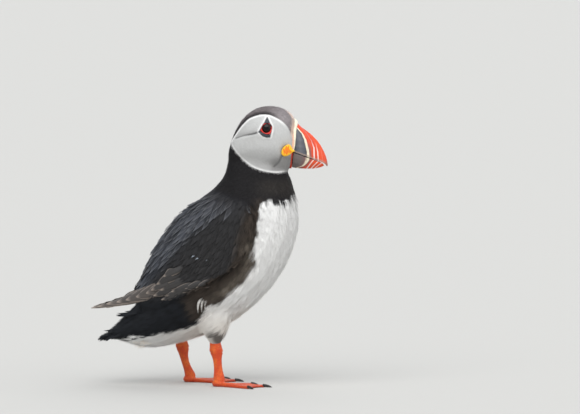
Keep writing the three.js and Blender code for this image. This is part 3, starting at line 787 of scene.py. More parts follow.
def coat_tree(name, scattered):
    """Roots are scattered over a region of the skin, or are the points of the given mesh."""
    tree, given, made = new_group(name, "GeometryNodeTree", COAT_INPUTS, {"Geometry": "Geometry"})
    place = add(tree, "GeometryNodeInputPosition")
    ground = add(tree, "GeometryNodeObjectInfo", {"Object": given["Skin"]}).outputs["Geometry"]

    def named(title, kind="FLOAT"):
        return add(tree, "GeometryNodeInputNamedAttribute", {"Name": title}, data_type=kind)

    def on_skin(value):
        return add(tree, "GeometryNodeSampleNearestSurface",
                   {"Mesh": ground, "Value": value, "Sample Position": place}, data_type="FLOAT_VECTOR")

    def chance(low, high, kind="FLOAT"):
        return add(tree, "FunctionNodeRandomValue", {"Min": low, "Max": high, "Seed": given["Seed"]},
                   data_type=kind)

    def kept(geometry, title, value, kind="FLOAT"):
        return add(tree, "GeometryNodeStoreNamedAttribute",
                   {"Geometry": geometry, "Name": title, "Value": value}, domain="POINT", data_type=kind)

    if scattered:
        thick = math_node(tree, "DIVIDE", ROOTS_PER_SPACING, times(tree, given["Spacing"], given["Spacing"]))
        roots = add(tree, "GeometryNodeDistributePointsOnFaces",
                    {"Mesh": given["Geometry"], "Distance Min": given["Spacing"], "Density Max": thick,
                     "Density Factor": named(given["Region"]), "Seed": given["Seed"]},
                    distribute_method="POISSON")
    else:
        roots = add(tree, "GeometryNodeMeshToPoints", {"Mesh": given["Geometry"]})
    roots = kept(roots, "shade", chance(0.0, 1.0))
    roots = kept(roots, "root_patch", on_skin(named("OFBake", "FLOAT_VECTOR")), "FLOAT_VECTOR")
    stray = scaled(tree, chance((-1, -1, -1), (1, 1, 1), "FLOAT_VECTOR"), given["Wander"])
    turn = add(tree, "FunctionNodeAxesToRotation",
               {"Primary Axis": named("outward", "FLOAT_VECTOR"),
                "Secondary Axis": added(tree, named("lie", "FLOAT_VECTOR"), stray)},
               primary_axis="Z", secondary_axis="Y")
    size = times(tree, chance(math_node(tree, "SUBTRACT", 1, given["Vary"]), 1.0), named("size"))
    scale = add(tree, "ShaderNodeCombineXYZ", {"X": times(tree, size, given["Width"]),
                                               "Y": times(tree, size, given["Length"]), "Z": 1.0})
    shape = add(tree, "GeometryNodeObjectInfo", {"Object": given["Feather"]}).outputs["Geometry"]
    grown = add(tree, "GeometryNodeInstanceOnPoints",
                {"Points": roots, "Instance": shape, "Rotation": turn, "Scale": scale})
    real = add(tree, "GeometryNodeRealizeInstances", {"Geometry": grown})
    lively = times_plus(tree, named("shade"), 0.5, 0.75)
    rise = times(tree, times(tree, named("rise"), lively), given["Lift"])
    clear = add(tree, "ShaderNodeMapRange", {"Value": named("along"), "From Min": LIFT_FROM,
                                             "From Max": LIFT_TO}).outputs["Result"]
    rise = math_node(tree, "ADD", rise, times(tree, named("layer"), clear))
    rise = math_node(tree, "SUBTRACT", rise, given["Sink"])
    raised = scaled(tree, on_skin(named("outward", "FLOAT_VECTOR")), rise)
    loose = times(tree, named("free"), math_node(tree, "POWER", named("along"), 2.0))
    settled = add(tree, "ShaderNodeMix", {"Factor": loose, "A": added(tree, on_skin(place), raised),
                                          "B": place}, data_type="VECTOR")
    laid = add(tree, "GeometryNodeSetPosition", {"Geometry": real, "Position": settled})
    dressed = add(tree, "GeometryNodeSetMaterial", {"Geometry": laid, "Material": given["Material"]})
    tree.links.new(dressed.outputs["Geometry"], made["Geometry"])
    return tree


SCATTERED = coat_tree("scattered_coat", scattered=True)
PLACED = coat_tree("placed_feathers", scattered=False)
TUFT_PATCH = 0.003


def tuft_patches(mesh):
    """Gives each feather a tiny patch of the map, at the place of its root."""
    roots = values_of(mesh.attributes["root_patch"].data, "vector")[:, :2]
    along, across = (values_of(mesh.attributes[name].data, "value", 1) for name in ("along", "across"))
    corners = values_of(mesh.loops, "vertex_index", 1, np.int32)[:, 0]
    patches = (roots + np.hstack((across / 2, along - 0.5)) * TUFT_PATCH)[corners]
    if "OFBake" in mesh.attributes:
        mesh.attributes.remove(mesh.attributes["OFBake"])
    mesh.uv_layers.new(name="OFBake").uv.foreach_set("vector", patches.astype(np.float32).ravel())


def grow(name, shape, paint, slot, tree=SCATTERED, roots=None, **values):
    """Grows one coat and turns it into a plain mesh that rides on the body."""
    grown = piece(name, (roots or skin_mesh).copy())
    modifier = grown.modifiers.new("grow", "NODES")
    modifier.node_group = tree
    values = {"Skin": skin_object, "Feather": shape, "Material": FEATHER_PAINT[paint], **values}
    for item in tree.interface.items_tree:
        if item.in_out == "INPUT" and item.name in values:
            modifier[item.identifier] = values[item.name]
    mesh = evaluated(grown, name)
    tuft_patches(mesh)
    shown(name, mesh, slot)


print("trees:", SCATTERED.name, len(SCATTERED.nodes), "nodes,", PLACED.name, len(PLACED.nodes), "nodes")

# %% [markdown]
# ## The finish of a feather
# Under a lens a feather is a shaft with hundreds of fine barbs that slant away from it. The barbs
# catch the light as thin streaks, and old feathers wear pale along their edges. One group of shader
# nodes draws barbs, shaft and edge from the two numbers that every feather point carries, and each
# finish sets its own strengths.

# %% Barbs, shaft and edge


def ramp_between(tree, value, low, high):
    return add(tree, "ShaderNodeMapRange", {"Value": value, "From Min": low, "From Max": high},
               interpolation_type="SMOOTHSTEP").outputs["Result"]


def barbs_group():
    titles = ("Along", "Across", "Shade", "Barbs", "Contrast", "Variation", "Edge Start")
    tree, given, made = new_group("barbs", "ShaderNodeTree", dict.fromkeys(titles, "Float"),
                                  dict.fromkeys(("Tint", "Edge", "Height"), "Float"))
    side = math_node(tree, "ABSOLUTE", given["Across"])
    slant = times_plus(tree, side, -0.35, given["Along"])
    shifted = times_plus(tree, slant, given["Barbs"], times(tree, given["Shade"], 7.0))
    noise = add(tree, "ShaderNodeTexNoise", {"W": shifted, "Scale": 2.2, "Detail": 2.0},
                noise_dimensions="1D").outputs[0]
    streak = math_node(tree, "SUBTRACT", noise, 0.5)
    shaft = math_node(tree, "SUBTRACT", 1.0, ramp_between(tree, side, 0.03, 0.16))
    vary = times(tree, math_node(tree, "SUBTRACT", given["Shade"], 0.5), given["Variation"])
    tint = math_node(tree, "ADD", times_plus(tree, streak, given["Contrast"], vary), 1.0)
    rim = times(tree, ramp_between(tree, side, given["Edge Start"], 1.0),
                ramp_between(tree, given["Along"], 0.2, 0.8))
    tip = ramp_between(tree, given["Along"], math_node(tree, "ADD", given["Edge Start"], 0.1), 1.0)
    for title, node in {"Tint": times_plus(tree, shaft, -0.12, tint),
                        "Edge": math_node(tree, "MAXIMUM", rim, tip),
                        "Height": math_node(tree, "ADD", streak, shaft)}.items():
        tree.links.new(node.outputs[0], made[title])
    return tree


def attribute(tree, name, output="Fac"):
    return add(tree, "ShaderNodeAttribute", attribute_name=name).outputs[output]


def own_place(tree):
    return add(tree, "ShaderNodeTexCoord").outputs["Object"]


def grain_of(tree, place, size, detail=3.0):
    return add(tree, "ShaderNodeTexNoise", {"Vector": place, "Scale": size, "Detail": detail}).outputs[0]


def mixed(tree, factor, first, second):
    return add(tree, "ShaderNodeMix", {"Factor": factor, "A": first, "B": second},
               data_type="RGBA").outputs[2]


def finish(name, **settings):
    """A new material and its shader, with plain values set on the shader's own sockets."""
    material = bpy.data.materials.new(name)
    material.use_nodes = True
    shader = material.node_tree.nodes["Principled BSDF"]
    for key, value in settings.items():
        shader.inputs[key.replace("_", " ")].default_value = value
    return material, material.node_tree, shader


def painted(tree, shader, colour, height, bump, reach=0.0002):
    """Joins a colour and a fine relief to the shader."""
    tree.links.new(colour, shader.inputs["Base Color"])
    relief = add(tree, "ShaderNodeBump", {"Height": height, "Strength": bump, "Distance": reach})
    tree.links.new(relief.outputs[0], shader.inputs["Normal"])


BARBS, BARB_RELIEF = barbs_group(), 0.3


def feather_finish(name, barbs, contrast, variation, roughness, gloss, edge=0.0, edge_start=0.8,
                   edge_colour=None):
    material, tree, shader = finish(name, Roughness=roughness, Specular_IOR_Level=gloss)
    drawn = add(tree, "ShaderNodeGroup", node_tree=BARBS)
    for key, value in {"Barbs": barbs, "Contrast": contrast, "Variation": variation,
                       "Edge Start": edge_start}.items():
        drawn.inputs[key].default_value = value
    for key in ("Along", "Across", "Shade"):
        tree.links.new(attribute(tree, key.lower()), drawn.inputs[key])
    colour = scaled(tree, attribute(tree, "plumage", "Color"), drawn.outputs["Tint"])
    if edge:
        colour = mixed(tree, times(tree, drawn.outputs["Edge"], edge), colour, (*edge_colour, 1))
    painted(tree, shader, colour, drawn.outputs["Height"], BARB_RELIEF)
    return material


# Number of barbs, their contrast, variation between feathers, roughness and gloss. Where the feather
# has a pale edge, also the strength, the start and the colour of that edge: worn pale on most, and
# painted bluish sheen on the sheen-edged vanes.
FEATHER_PAINT = {
    "face_down": (4, 0.45, 0.45, 0.8, 0.3), "black_down": (6, 0.7, 0.6, 0.7, 0.28),
    "brown_down": (6, 1.0, 1.2, 0.75, 0.25), "white_down": (5, 0.06, 0.06, 0.8, 0.3),
    "cloak_vane": (14, 0.6, 0.5, 0.55, 0.22, 0.10, 0.7, (0.12, 0.11, 0.11)),
    # The bluish edges of these vanes are painted sheen.
    "slate_vane": (18, 0.6, 1.3, 0.5, 0.25, 0.6, 0.5, (0.155, 0.16, 0.175)),
    "dark_vane": (16, 0.5, 0.9, 0.55, 0.2, 0.22, 0.6, (0.075, 0.070, 0.070)),
    "quill_vane": (46, 0.45, 0.5, 0.55, 0.4, 0.8, 0.76, (0.36, 0.30, 0.255)),
    "covert_vane": (40, 0.45, 0.8, 0.55, 0.3, 0.62, 0.84, (0.27, 0.225, 0.195)),
}
for name, facts in FEATHER_PAINT.items():
    FEATHER_PAINT[name] = feather_finish(name, *facts)
print("feather finishes:", *FEATHER_PAINT)

# %% [markdown]
# The skin carries the same colours as the coat. Between the feathers only its tone is seen, so it
# needs no more than a fine down-like grain.

# %% Finish of the skin
SKIN_FINISH, tree, shader = finish("skin_down", Roughness=0.85, Specular_IOR_Level=0.2)
grain = grain_of(tree, own_place(tree), 1500.0)
colour = scaled(tree, attribute(tree, "plumage", "Color"), times_plus(tree, grain, 0.3, 0.85))
painted(tree, shader, colour, grain, 0.4)
skin_mesh.materials.append(SKIN_FINISH)
skin_mesh.shade_smooth()
print("skin finish:", len(tree.nodes), "nodes")

# %% [markdown]
# ## Growing the coats
# Small soft plumes cover head, neck and underside, and firmer vanes cover the back. The spacing is
# always a good deal less than the length, so that the feathers overlap like roof tiles.

# %% Coats scattered over the skin
COAT_SINK = 0.15
# Name, feather, region, spacing, length, width, lift, wander, variation in size, finish and slot.
COATS = [
    ("coat_face", BRISTLE, "face", 0.72, 3.0, 1.7, 0.30, 0.10, 0.3, "face_down", "face_feathers"),
    ("coat_cap", WISP, "cap", 1.15, 5.5, 3.2, 0.8, 0.12, 0.3, "black_down", "black_feathers"),
    ("coat_cloak", LANCE, "cloak", 2.1, 12.0, 4.2, 1.0, 0.07, 0.3, "cloak_vane", "black_feathers"),
    ("coat_scapular", LANCE, "scapular", 3.4, 19.0, 5.4, 2.2, 0.09, 0.4, "slate_vane", "black_feathers"),
    ("coat_covert", LANCE, "covert", 2.9, 13.0, 5.0, 1.5, 0.10, 0.4, "dark_vane", "black_feathers"),
    ("coat_rump", SOFT, "rump", 1.9, 14.0, 6.0, 2.0, 0.10, 0.35, "black_down", "black_feathers"),
    ("coat_flank", WISP, "flank", 1.1, 10.0, 4.5, 2.4, 0.22, 0.4, "brown_down", "black_feathers"),
    ("coat_breast", SOFT, "breast", 1.35, 8.5, 4.0, 1.6, 0.12, 0.3, "white_down", "white_feathers"),
    ("coat_belly", SOFT, "belly", 1.5, 10.0, 4.6, 1.9, 0.16, 0.35, "white_down", "white_feathers"),
]
for seed, (name, shape, region, spacing, length, width, lift, wander, vary, paint, slot) in enumerate(COATS):
    grow(name, shape, paint, slot, Region=region, Spacing=spacing * MM, Length=length * MM,
         Width=width * MM, Lift=lift * MM, Sink=COAT_SINK * MM, Wander=wander, Vary=vary, Seed=seed + 1)

# %% [markdown]
# ## Rows of larger feathers
# The lowest scapulars, the pale marks on the wing and the feathers round rump and tail lie in rows,
# and each row ends on a clear line. So they are placed by their tips: a curve in the side view
# carries the tips of a row, and each feather's root lies one length back from its tip. A ray from
# the side finds the skin under the root.

# %% Feathers placed by their tips
skin_tree = ray_tree(skin_mesh, points_of(skin_mesh))
FAR = 200 * MM


def side_hit(tree, x, z, side):
    """The place and normal where a ray from the bird's side meets a surface."""
    start = Vector((x * MM, SIGN[side] * FAR, z * MM))
    place, normal = tree.ray_cast(start, Vector((0, -SIGN[side], 0)))[:2]
    if place is None:
        place, normal = tree.find_nearest(Vector((x * MM, SIGN[side] * 25 * MM, z * MM)))[:2]
    return place, normal


# Name: tips' curve (x, z), how many, direction (x, z), length, width, layer, freedom, feather, finish,
# slot and colour.
ROWS = {
    "scapular_tip": ([(-62, 75), (-59, 80), (-56, 86), (-51, 95)], 6, (-0.60, -0.80),
                     25, 6.2, 3.4, 0.0, LANCE, "covert_vane", "black_feathers", (0.022, 0.022, 0.025)),
    "wing_mark": ([(-10, 104), (-4, 103), (2, 103.5)], 4, (-0.8, -0.6),
                  7, 1.7, 2.2, 0.0, LANCE, "slate_vane", "black_feathers", (0.20, 0.23, 0.27)),
    "rump_edge": ([(-64, 35), (-52, 38), (-40, 39.5), (-29, 41), (-16, 45.5), (-7, 50)], 12,
                  (-0.74, -0.67), 15, 6.0, 1.8, 0.0, LANCE, "black_down", "black_feathers", RUMP),
    "tail_side": ([(-77, 36.5), (-85, 37.5), (-87, 42), (-84, 46.5)], 6, (-0.93, -0.37),
                  18, 5.0, 1.2, 0.9, LANCE, "black_down", "black_feathers", RUMP),
    "under_tail": ([(-61, 31.5), (-59, 28.5), (-55, 26.5), (-50, 25.5)], 8, (-0.95, -0.31),
                   12, 6.0, 0.4, 0.9, SOFT, "white_down", "white_feathers", TAN),
    "rump_point": ([(-76.5, 56.5), (-72, 58)], 2, (-0.95, -0.31),
                   22, 5.5, 1.5, 0.95, LANCE, "black_down", "black_feathers", RUMP),
}
ROW_FADE, ROW_STRAY, ROW_LIFT, ROW_SINK = 0.6, 1.4, 0.8, 1.1


def placed_roots(name, place, **facts):
    """A mesh of root points, with all that their feathers need to know."""
    mesh = bpy.data.meshes.new(name)
    mesh.from_pydata(place, [], [])
    for title, values in facts.items():
        store(mesh, title, values)
    return mesh


def row_roots(name, tips, count, heading, length, layer, free, colour):
    """The roots of a row on both sides, with all that the feathers need to know."""
    rng = np.random.default_rng(len(name) + count)
    line = flowing(tips)
    steps = np.r_[0, np.cumsum(np.linalg.norm(np.diff(line, axis=0), axis=1))]
    run = np.array(heading) / np.linalg.norm(heading)
    facts = {"place": [], "outward": [], "layer": []}
    for side in BOTH:
        for i, share in enumerate(np.linspace(0, steps[-1], count)):
            tip = np.array([np.interp(share, steps, line[:, 0]), np.interp(share, steps, line[:, 1])])
            tip += rng.uniform(-1, 1, 2) * ROW_STRAY
            place, normal = side_hit(skin_tree, *(tip - run * length * 0.93), side)
            facts["place"].append(place)
            facts["outward"].append(normal if free < 0.8 else (0, SIGN[side], 0))
            facts["layer"].append(layer * (1 - ROW_FADE * (i / count) ** 2) * MM)
    total = len(facts["place"])
    return placed_roots(name, **facts, lie=np.tile((run[0], 0, run[1]), (total, 1)), size=np.ones(total),
                        free=np.full(total, free), plumage=np.tile((*colour, 1), (total, 1)))


def tail_roots():
    """The roots of the tail feathers: a fan on top of the tail, from side to side."""
    facts = {"place": [], "outward": [], "lie": []}
    for share in np.linspace(-1, 1, TAIL_FEATHERS):
        start = Vector((TAIL_ROOT * MM, share * TAIL_SPREAD * MM, FAR))
        place, normal = skin_tree.ray_cast(start, Vector((0, 0, -1)))[:2]
        facts["place"].append(place)
        facts["outward"].append(normal)
        facts["lie"].append((-1, 0.22 * share, -0.5))
    beside = np.abs(np.linspace(-1, 1, TAIL_FEATHERS))
    return placed_roots("tail", **facts, layer=(0.8 - 0.6 * beside) * MM, size=1 - 0.1 * beside,
                        free=np.full(TAIL_FEATHERS, 0.7), plumage=np.tile((*RUMP, 1), (TAIL_FEATHERS, 1)))


TAIL_ROOT, TAIL_SPREAD, TAIL_FEATHERS = -62, 15, 12
grow("tail_fan", VANE, "cloak_vane", "black_feathers", tree=PLACED, roots=tail_roots(), Length=33 * MM,
     Width=9 * MM, Lift=0.5 * MM, Sink=0.2 * MM, Wander=0.05, Vary=0.1, Seed=50)

for seed, (name, row) in enumerate(ROWS.items()):
    tips, count, heading, length, width, layer, free, shape, paint, slot, colour = row
    roots = row_roots(name, tips, count, heading, length, layer, free, colour)
    grow(name + "_row", shape, paint, slot, tree=PLACED, roots=roots, Length=length * MM,
         Width=width * MM, Lift=ROW_LIFT * MM, Sink=ROW_SINK * MM, Wander=0.08, Vary=0.15, Seed=seed + 20)

# %% [markdown]
# ## Flight feathers
# The long flight feathers show only at the tip of the folded wing, stacked like a closed fan with
# the innermost on top. The shorter inner ones cover their roots. Each one is built along its own
# line, with a firm curved vane of real thickness, and rests on the one below.

# %% Primaries of the folded wing
# The tip (x, z) of each primary, from the longest to the innermost, and its width.
PRIMARY_TIPS = [(-94.2, 62.0, 7), (-89, 63.1, 9), (-81.5, 65.2, 10.5), (-73, 67, 12), (-65, 69, 13),
                (-56, 71.8, 13), (-47, 75.2, 11.5)]
PRIMARY_LENGTH, PRIMARY_SHORTER, PRIMARY_STEP, QUILL_THICKNESS = 54, 4.3, 0.34, 0.22
QUILL_COLOUR, INNER_COLOUR = (0.066, 0.056, 0.050), (0.034, 0.031, 0.030)
# The inner feathers: tip x and z, width, slope, length and layer.
INNER_QUILLS = [(-40.5, 73, 10, 0.36, 32, 2.0), (-34.5, 77.5, 10, 0.42, 30, 2.3),
                (-34, 69.9, 8, 0.27, 31, 2.4), (-30.5, 73, 8.5, 0.27, 29, 2.6),
                (-25.5, 76.4, 9, 0.25, 27, 2.8), (-14, 79, 8, 0.3, 20, 2.8), (-5, 80, 8, 0.35, 18, 2.8),
                (-42.5, 77.2, 10, 0.5, 31, 2.7), (-37.5, 82, 11, 0.55, 27, 3.0), (-32, 88, 10, 0.62, 22, 3.2)]
# The top edge of the folded wing tip, which no vane passes.
WING_TOP = (-94, -74, -57, -44, -30), (64, 70.4, 79, 85.5, 95)
QUILL_ROWS = np.r_[np.linspace(0, 0.8, 9), 0.88, 0.94, 0.975, 1]
QUILL_COLUMNS = (-1, -0.5, 0, 0.4, 1)
UPPER_FULLNESS, LOWER_FULLNESS = 1.8, 3.2
# Ahead of this the feathers lie on the skin, and behind it on the folded wing's own solids.
SKIN_FROM, SKIN_BLEND, WING_STEP = -44, 14, 1.2
# How far a vane curves down at its sides, how deep its root is sunk, and how even its bed is.
CAMBER, ROOT_SINK, BED_VOXEL = 0.5, 7.5, 1.0


def leaf(t, fullness):
    return min(1, 0.3 + 1.6 * t) * (1 - t**fullness) ** 0.8


def bed_tree(names):
    mesh = remeshed(solids(names, swell=0.1), BED_VOXEL, 6)
    tree = ray_tree(mesh, points_of(mesh))
    bpy.data.meshes.remove(mesh)
    return tree


def new_sheet():
    return {"points": [], "faces": [], "along": [], "across": [], "shade": []}


def quill(sheet, bed, side, tip, heading, length, width, layer, sag):
    """One flight feather, laid on the side of its bed."""
    run = np.array(heading) / np.linalg.norm(heading)
    over = np.array((run[1], -run[0]))
    first = len(sheet["points"])
    for t in QUILL_ROWS:
        middle = np.array(tip) - run * length * (1 - t) + over * sag * math.sin(math.pi * t)
        room = max(0.5, np.interp(middle[0], *WING_TOP) - middle[1])
        upper, lower = min(leaf(t, UPPER_FULLNESS) * width / 2, room), leaf(t, LOWER_FULLNESS) * width / 2
        for c in QUILL_COLUMNS:
            x, z = middle + over * c * (upper if c > 0 else lower)
            on_skin = min(1, max(0, (x - SKIN_FROM) / SKIN_BLEND))
            place = side_hit(bed, x, z, side)[0].lerp(side_hit(skin_tree, x, z, side)[0], on_skin)
            raise_by = layer - WING_STEP * (1 - on_skin) - CAMBER * c * c - ROOT_SINK * max(0, 0.5 - t)
            sheet["points"].append(place + Vector((0, SIGN[side] * 0.7, 0.3)) * raise_by * MM)
            sheet["along"].append(t)
            sheet["across"].append(c)
    columns = len(QUILL_COLUMNS)
    for i in range(len(QUILL_ROWS) - 1):
        for j in range(columns - 1):
            corner = first + i * columns + j
            ring = (corner, corner + 1, corner + columns + 1, corner + columns)
            sheet["faces"].append(ring if side == "right" else ring[::-1])
    sheet["shade"] += [(layer * 3.7) % 1] * (len(sheet["points"]) - first)


def quill_piece(name, sheet, root_colour, colour, paint, slot, node=None):
    mesh = bpy.data.meshes.new(name)
    mesh.from_pydata(sheet["points"], [], sheet["faces"])
    for number in ("along", "across", "shade"):
        store(mesh, number, sheet[number])
    ripe = np.clip((np.array(sheet["along"]) - 0.15) / 0.45, 0, 1)[:, None]
    tints = np.array((*root_colour, 1)) * (1 - ripe) + np.array((*colour, 1)) * ripe
    store(mesh, "plumage", tints)
    store(mesh, "root_patch", [skin_patch(point) for point in sheet["points"]])
    flat = piece(name, mesh, FEATHER_PAINT[paint])
    body = flat.modifiers.new("thickness", "SOLIDIFY")
    body.thickness, body.offset = QUILL_THICKNESS * MM, 0
    mesh = evaluated(flat, name)
    tuft_patches(mesh)
    shown(name, mesh, slot, node=node)


patch_of_face = values_of(skin_mesh.uv_layers["OFBake"].uv, "vector", 2)


def skin_patch(point):
    """The place on the unwrap of the skin nearest to a point."""
    face = skin_mesh.polygons[skin_tree.find_nearest(Vector(point))[2]]
    return (*patch_of_face[face.loop_start], 0)


for side in BOTH:
    bed = bed_tree([f"wing_tip_{side}", f"wing_{side}"])
    sheet = new_sheet()
    for i, (tip_x, tip_z, width) in enumerate(PRIMARY_TIPS):
        heading = (-1, -0.20 - 0.03 * i)
        quill(sheet, bed, side, (tip_x, tip_z), heading, PRIMARY_LENGTH - PRIMARY_SHORTER * i, width,
              PRIMARY_STEP * i - 1.5, 0.8)
    quill_piece(f"primaries_{side}", sheet, WING, QUILL_COLOUR, "quill_vane", "flight_feathers",
                node=f"wing_tip_{side}")
    sheet = new_sheet()
    for tip_x, tip_z, width, slope, length, layer in INNER_QUILLS:
        quill(sheet, bed, side, (tip_x, tip_z), (-1, -slope), length, width, layer, 0.6)
    quill_piece(f"inner_quills_{side}", sheet, WING, INNER_COLOUR, "quill_vane", "flight_feathers")

# %% [markdown]
# A few white plumes on the right flank have slipped over the dark ones and curl down.

# %% Curled plumes
CURL_COLOUR = (0.62, 0.60, 0.57)
CURLS = [((-4.5, 58.5), 18, 3.4), ((-1.6, 59.5), 16, 3.0), ((1.0, 61.5), 13, 2.4)]
sheet = new_sheet()
for i, (tip, length, bow) in enumerate(CURLS):
    quill(sheet, skin_tree, "right", tip, (-0.45, -0.89), length, 2.3, 3.2 - 0.3 * i, bow)
quill_piece("curled_plumes", sheet, CURL_COLOUR, CURL_COLOUR, "white_down", "white_feathers")

# %% [markdown]
# ## The bill
# The bill is bone under bright horn plates that grow for the breeding season and are shed after it.
# Its curved stripes follow one another from the face to the tip, so one number is enough to paint
# them: the "band" of a point says between which two stripes it lies. A colour ramp turns the number
# into plate, cream line and red horn, and the same curves press real grooves into the mesh.

# %% Stripes of the bill
# Each stripe is a curve (z, x) from bottom to top: how far forward it lies at each height.
UPPER_STRIPES = [
    [(170, 69.5), (188, 69.6), (200, 70), (214, 66)],
    [(176, 81.2), (184.4, 80.9), (188.7, 80.3), (196.6, 78), (201.6, 75.3), (206, 71.2), (214, 63)],
    [(176, 85.4), (182.7, 85.2), (190.4, 84.9), (196.3, 82.6), (201.6, 79), (207, 74), (214, 66)],
    [(176, 88.6), (182, 88.3), (187, 87.9), (193.6, 86.3), (198.6, 83.2), (204, 78.8), (214, 70)],
    [(172, 92.4), (181.4, 91.8), (188.2, 90.6), (194.2, 87.8), (200, 83.6), (214, 74)],
    [(172, 98), (214, 98)],
]
LOWER_STRIPES = [
    [(168, 66), (190, 66)],
    [(173, 68), (174.8, 72.4), (175.7, 76), (177.8, 78.6), (180.4, 80.6), (183.4, 80.9), (190, 80.9)],
    [(170, 76), (175.7, 80.6), (180.8, 84.6), (188, 89)],
    [(170, 79.2), (175.4, 84), (179.7, 88.3), (188, 95)],
    [(170, 81.6), (174.6, 86.2), (178, 90.6), (188, 99)],
    [(170, 99), (190, 104)],
]
GAPE = flowing([(69, 188), (76.6, 184.9), (80.6, 184), (82.6, 182.6), (87.2, 181.2),
                (92.2, 179.4), (94.8, 176.2)])
HORN_VOXEL, GROOVE_DEPTH, GROOVE_WIDTH, HORN_WAVES = 0.4, 0.28, 0.55, 0.05
LINE_HEIGHT, LINE_WIDTH, GAPE_WIDTH = 0.3, 0.9, 0.55


def band_of(stripes, x, z):
    """Between which stripes each point lies, and how far it is from the nearest one."""
    lines = np.array([np.interp(z, [p[0] for p in line], [p[1] for p in line]) for line in stripes])
    band = np.zeros(len(x))
    for k in range(len(stripes) - 1):
        share = (x - lines[k]) / np.maximum(lines[k + 1] - lines[k], 0.2)
        band += np.clip(share, 0, 1)
    return band, x - lines


def horn(name, node, stripes, line_strengths, material, slot):
    mesh = remeshed(solids([node]), HORN_VOXEL, 3)
    points = points_of(mesh) / MM
    normals = normals_of(mesh)
    x, y, z = points.T
    band, offsets = band_of(stripes, x, z)
    relief = LINE_HEIGHT * soft_band(offsets[1], LINE_WIDTH)
    lines = np.zeros(len(points))
    up = smooth(z, 184, 199)
    for offset, (low, high) in zip(offsets[2:-1], line_strengths):
        groove = soft_band(offset, GROOVE_WIDTH)
        relief -= GROOVE_DEPTH * groove
        lines = np.maximum(lines, groove * (low + (high - low) * up))
    relief += HORN_WAVES * ripple(points * (0.4, 1, 2.2), 1.2, 8)
    sideways = np.abs(normals[:, 1]) ** 1.5
    move_points(mesh, (points + normals * (relief * sideways)[:, None]) * MM)
    store(mesh, "band", band)
    store(mesh, "lines", lines)
    store(mesh, "mauve", smooth(band, 1.08, 1.14) * smooth(-band, -1.75, -1.3) * smooth(-z, -198, -188))
    store(mesh, "gape", soft_band(line_distance(GAPE, x, z)[0], GAPE_WIDTH))
    store(mesh, "tip", smooth(x - 0.5 * (z - 176), 91, 95))
    shown(name, mesh, slot, material, node=node)


def ramp(tree, value, stops, spread):
    """A colour ramp whose stops are given in the units of the value."""
    node = add(tree, "ShaderNodeValToRGB", {"Fac": math_node(tree, "DIVIDE", value, spread)})
    elements = node.color_ramp.elements
    while len(elements) < len(stops):
        elements.new(0.5)
    for element, (place, colour) in zip(elements, stops):
        element.position = place / spread
        element.color = (*colour, 1)
    return node.outputs["Color"]


CREAM, PALE_LINE = (0.84, 0.74, 0.56), (0.88, 0.70, 0.64)
RED, FIRE, MAUVE = (0.60, 0.034, 0.006), (0.72, 0.070, 0.012), (0.20, 0.105, 0.10)
SLATE_DARK = (0.030, 0.034, 0.045)
SLATE, SLATE_PALE, SLATE_BROWN = (0.075, 0.080, 0.098), (0.125, 0.130, 0.148), (0.165, 0.135, 0.13)
GAPE_HORN, TIP_HORN = (0.42, 0.30, 0.24, 1), (0.17, 0.12, 0.10, 1)
UPPER_STOPS = [(0, SLATE_DARK), (0.15, SLATE), (0.45, SLATE_PALE), (0.78, SLATE), (0.87, SLATE_DARK),
               (0.92, CREAM), (1.12, CREAM), (1.2, RED), (1.6, FIRE), (2, RED), (3, FIRE),
               (4, FIRE), (5, RED)]
LOWER_STOPS = [(0, SLATE_BROWN), (0.6, SLATE_BROWN), (0.82, MAUVE), (0.92, CREAM), (1.1, CREAM),
               (1.2, RED), (2, FIRE), (3, FIRE), (5, FIRE)]
# How strong the white line in each groove is, at the gape and at the bill's ridge.
UPPER_LINES, LOWER_LINES = [(1.0, 0.3), (0.75, 0.1), (0.25, 0.05)], [(1.0, 1.0), (0.85, 0.85), (0.7, 0.7)]
BANDS = 5.0


def horn_finish(name, stops):
    material, tree, shader = finish(name, Roughness=0.36, Specular_IOR_Level=0.45, Coat_Weight=0.15,
                                    Coat_Roughness=0.25)
    stretched = add(tree, "ShaderNodeMapping", {"Vector": own_place(tree), "Scale": (1.0, 0.3, 0.22)})
    grain = grain_of(tree, stretched, 1400.0, 4.0)
    wobble = times(tree, math_node(tree, "SUBTRACT", grain, 0.5), 0.16)
    colour = ramp(tree, math_node(tree, "ADD", attribute(tree, "band"), wobble), stops, BANDS)
    colour = mixed(tree, times(tree, attribute(tree, "mauve"), 0.8), colour, (*MAUVE, 1))
    colour = mixed(tree, ramp_between(tree, attribute(tree, "lines"), 0.1, 0.75), colour, (*PALE_LINE, 1))
    colour = mixed(tree, times(tree, attribute(tree, "gape"), 0.7), colour, GAPE_HORN)
    colour = mixed(tree, times(tree, attribute(tree, "tip"), 0.7), colour, TIP_HORN)
    colour = scaled(tree, colour, times_plus(tree, grain, 0.36, 0.82))
    painted(tree, shader, colour, grain, 0.25)
    return material


for half, stripes, strengths, stops in (("upper", UPPER_STRIPES, UPPER_LINES, UPPER_STOPS),
                                        ("lower", LOWER_STRIPES, LOWER_LINES, LOWER_STOPS)):
    horn(f"bill_horn_{half}", f"bill_{half}", stripes, strengths, horn_finish(f"horn_{half}", stops),
         "bill_horn")

# %% [markdown]
# ## Soft and horny parts of the face
# A fleshy cream rim runs round the base of the bill. A wrinkled rosette of yellow skin lets the
# mouth open wide. Above and below the eye sit small horny plates, and a red ring surrounds it. All
# of them are small rounded lumps, so their solids are remeshed very finely and wrinkled.

# %% Rims, rosettes, eye rings and plates


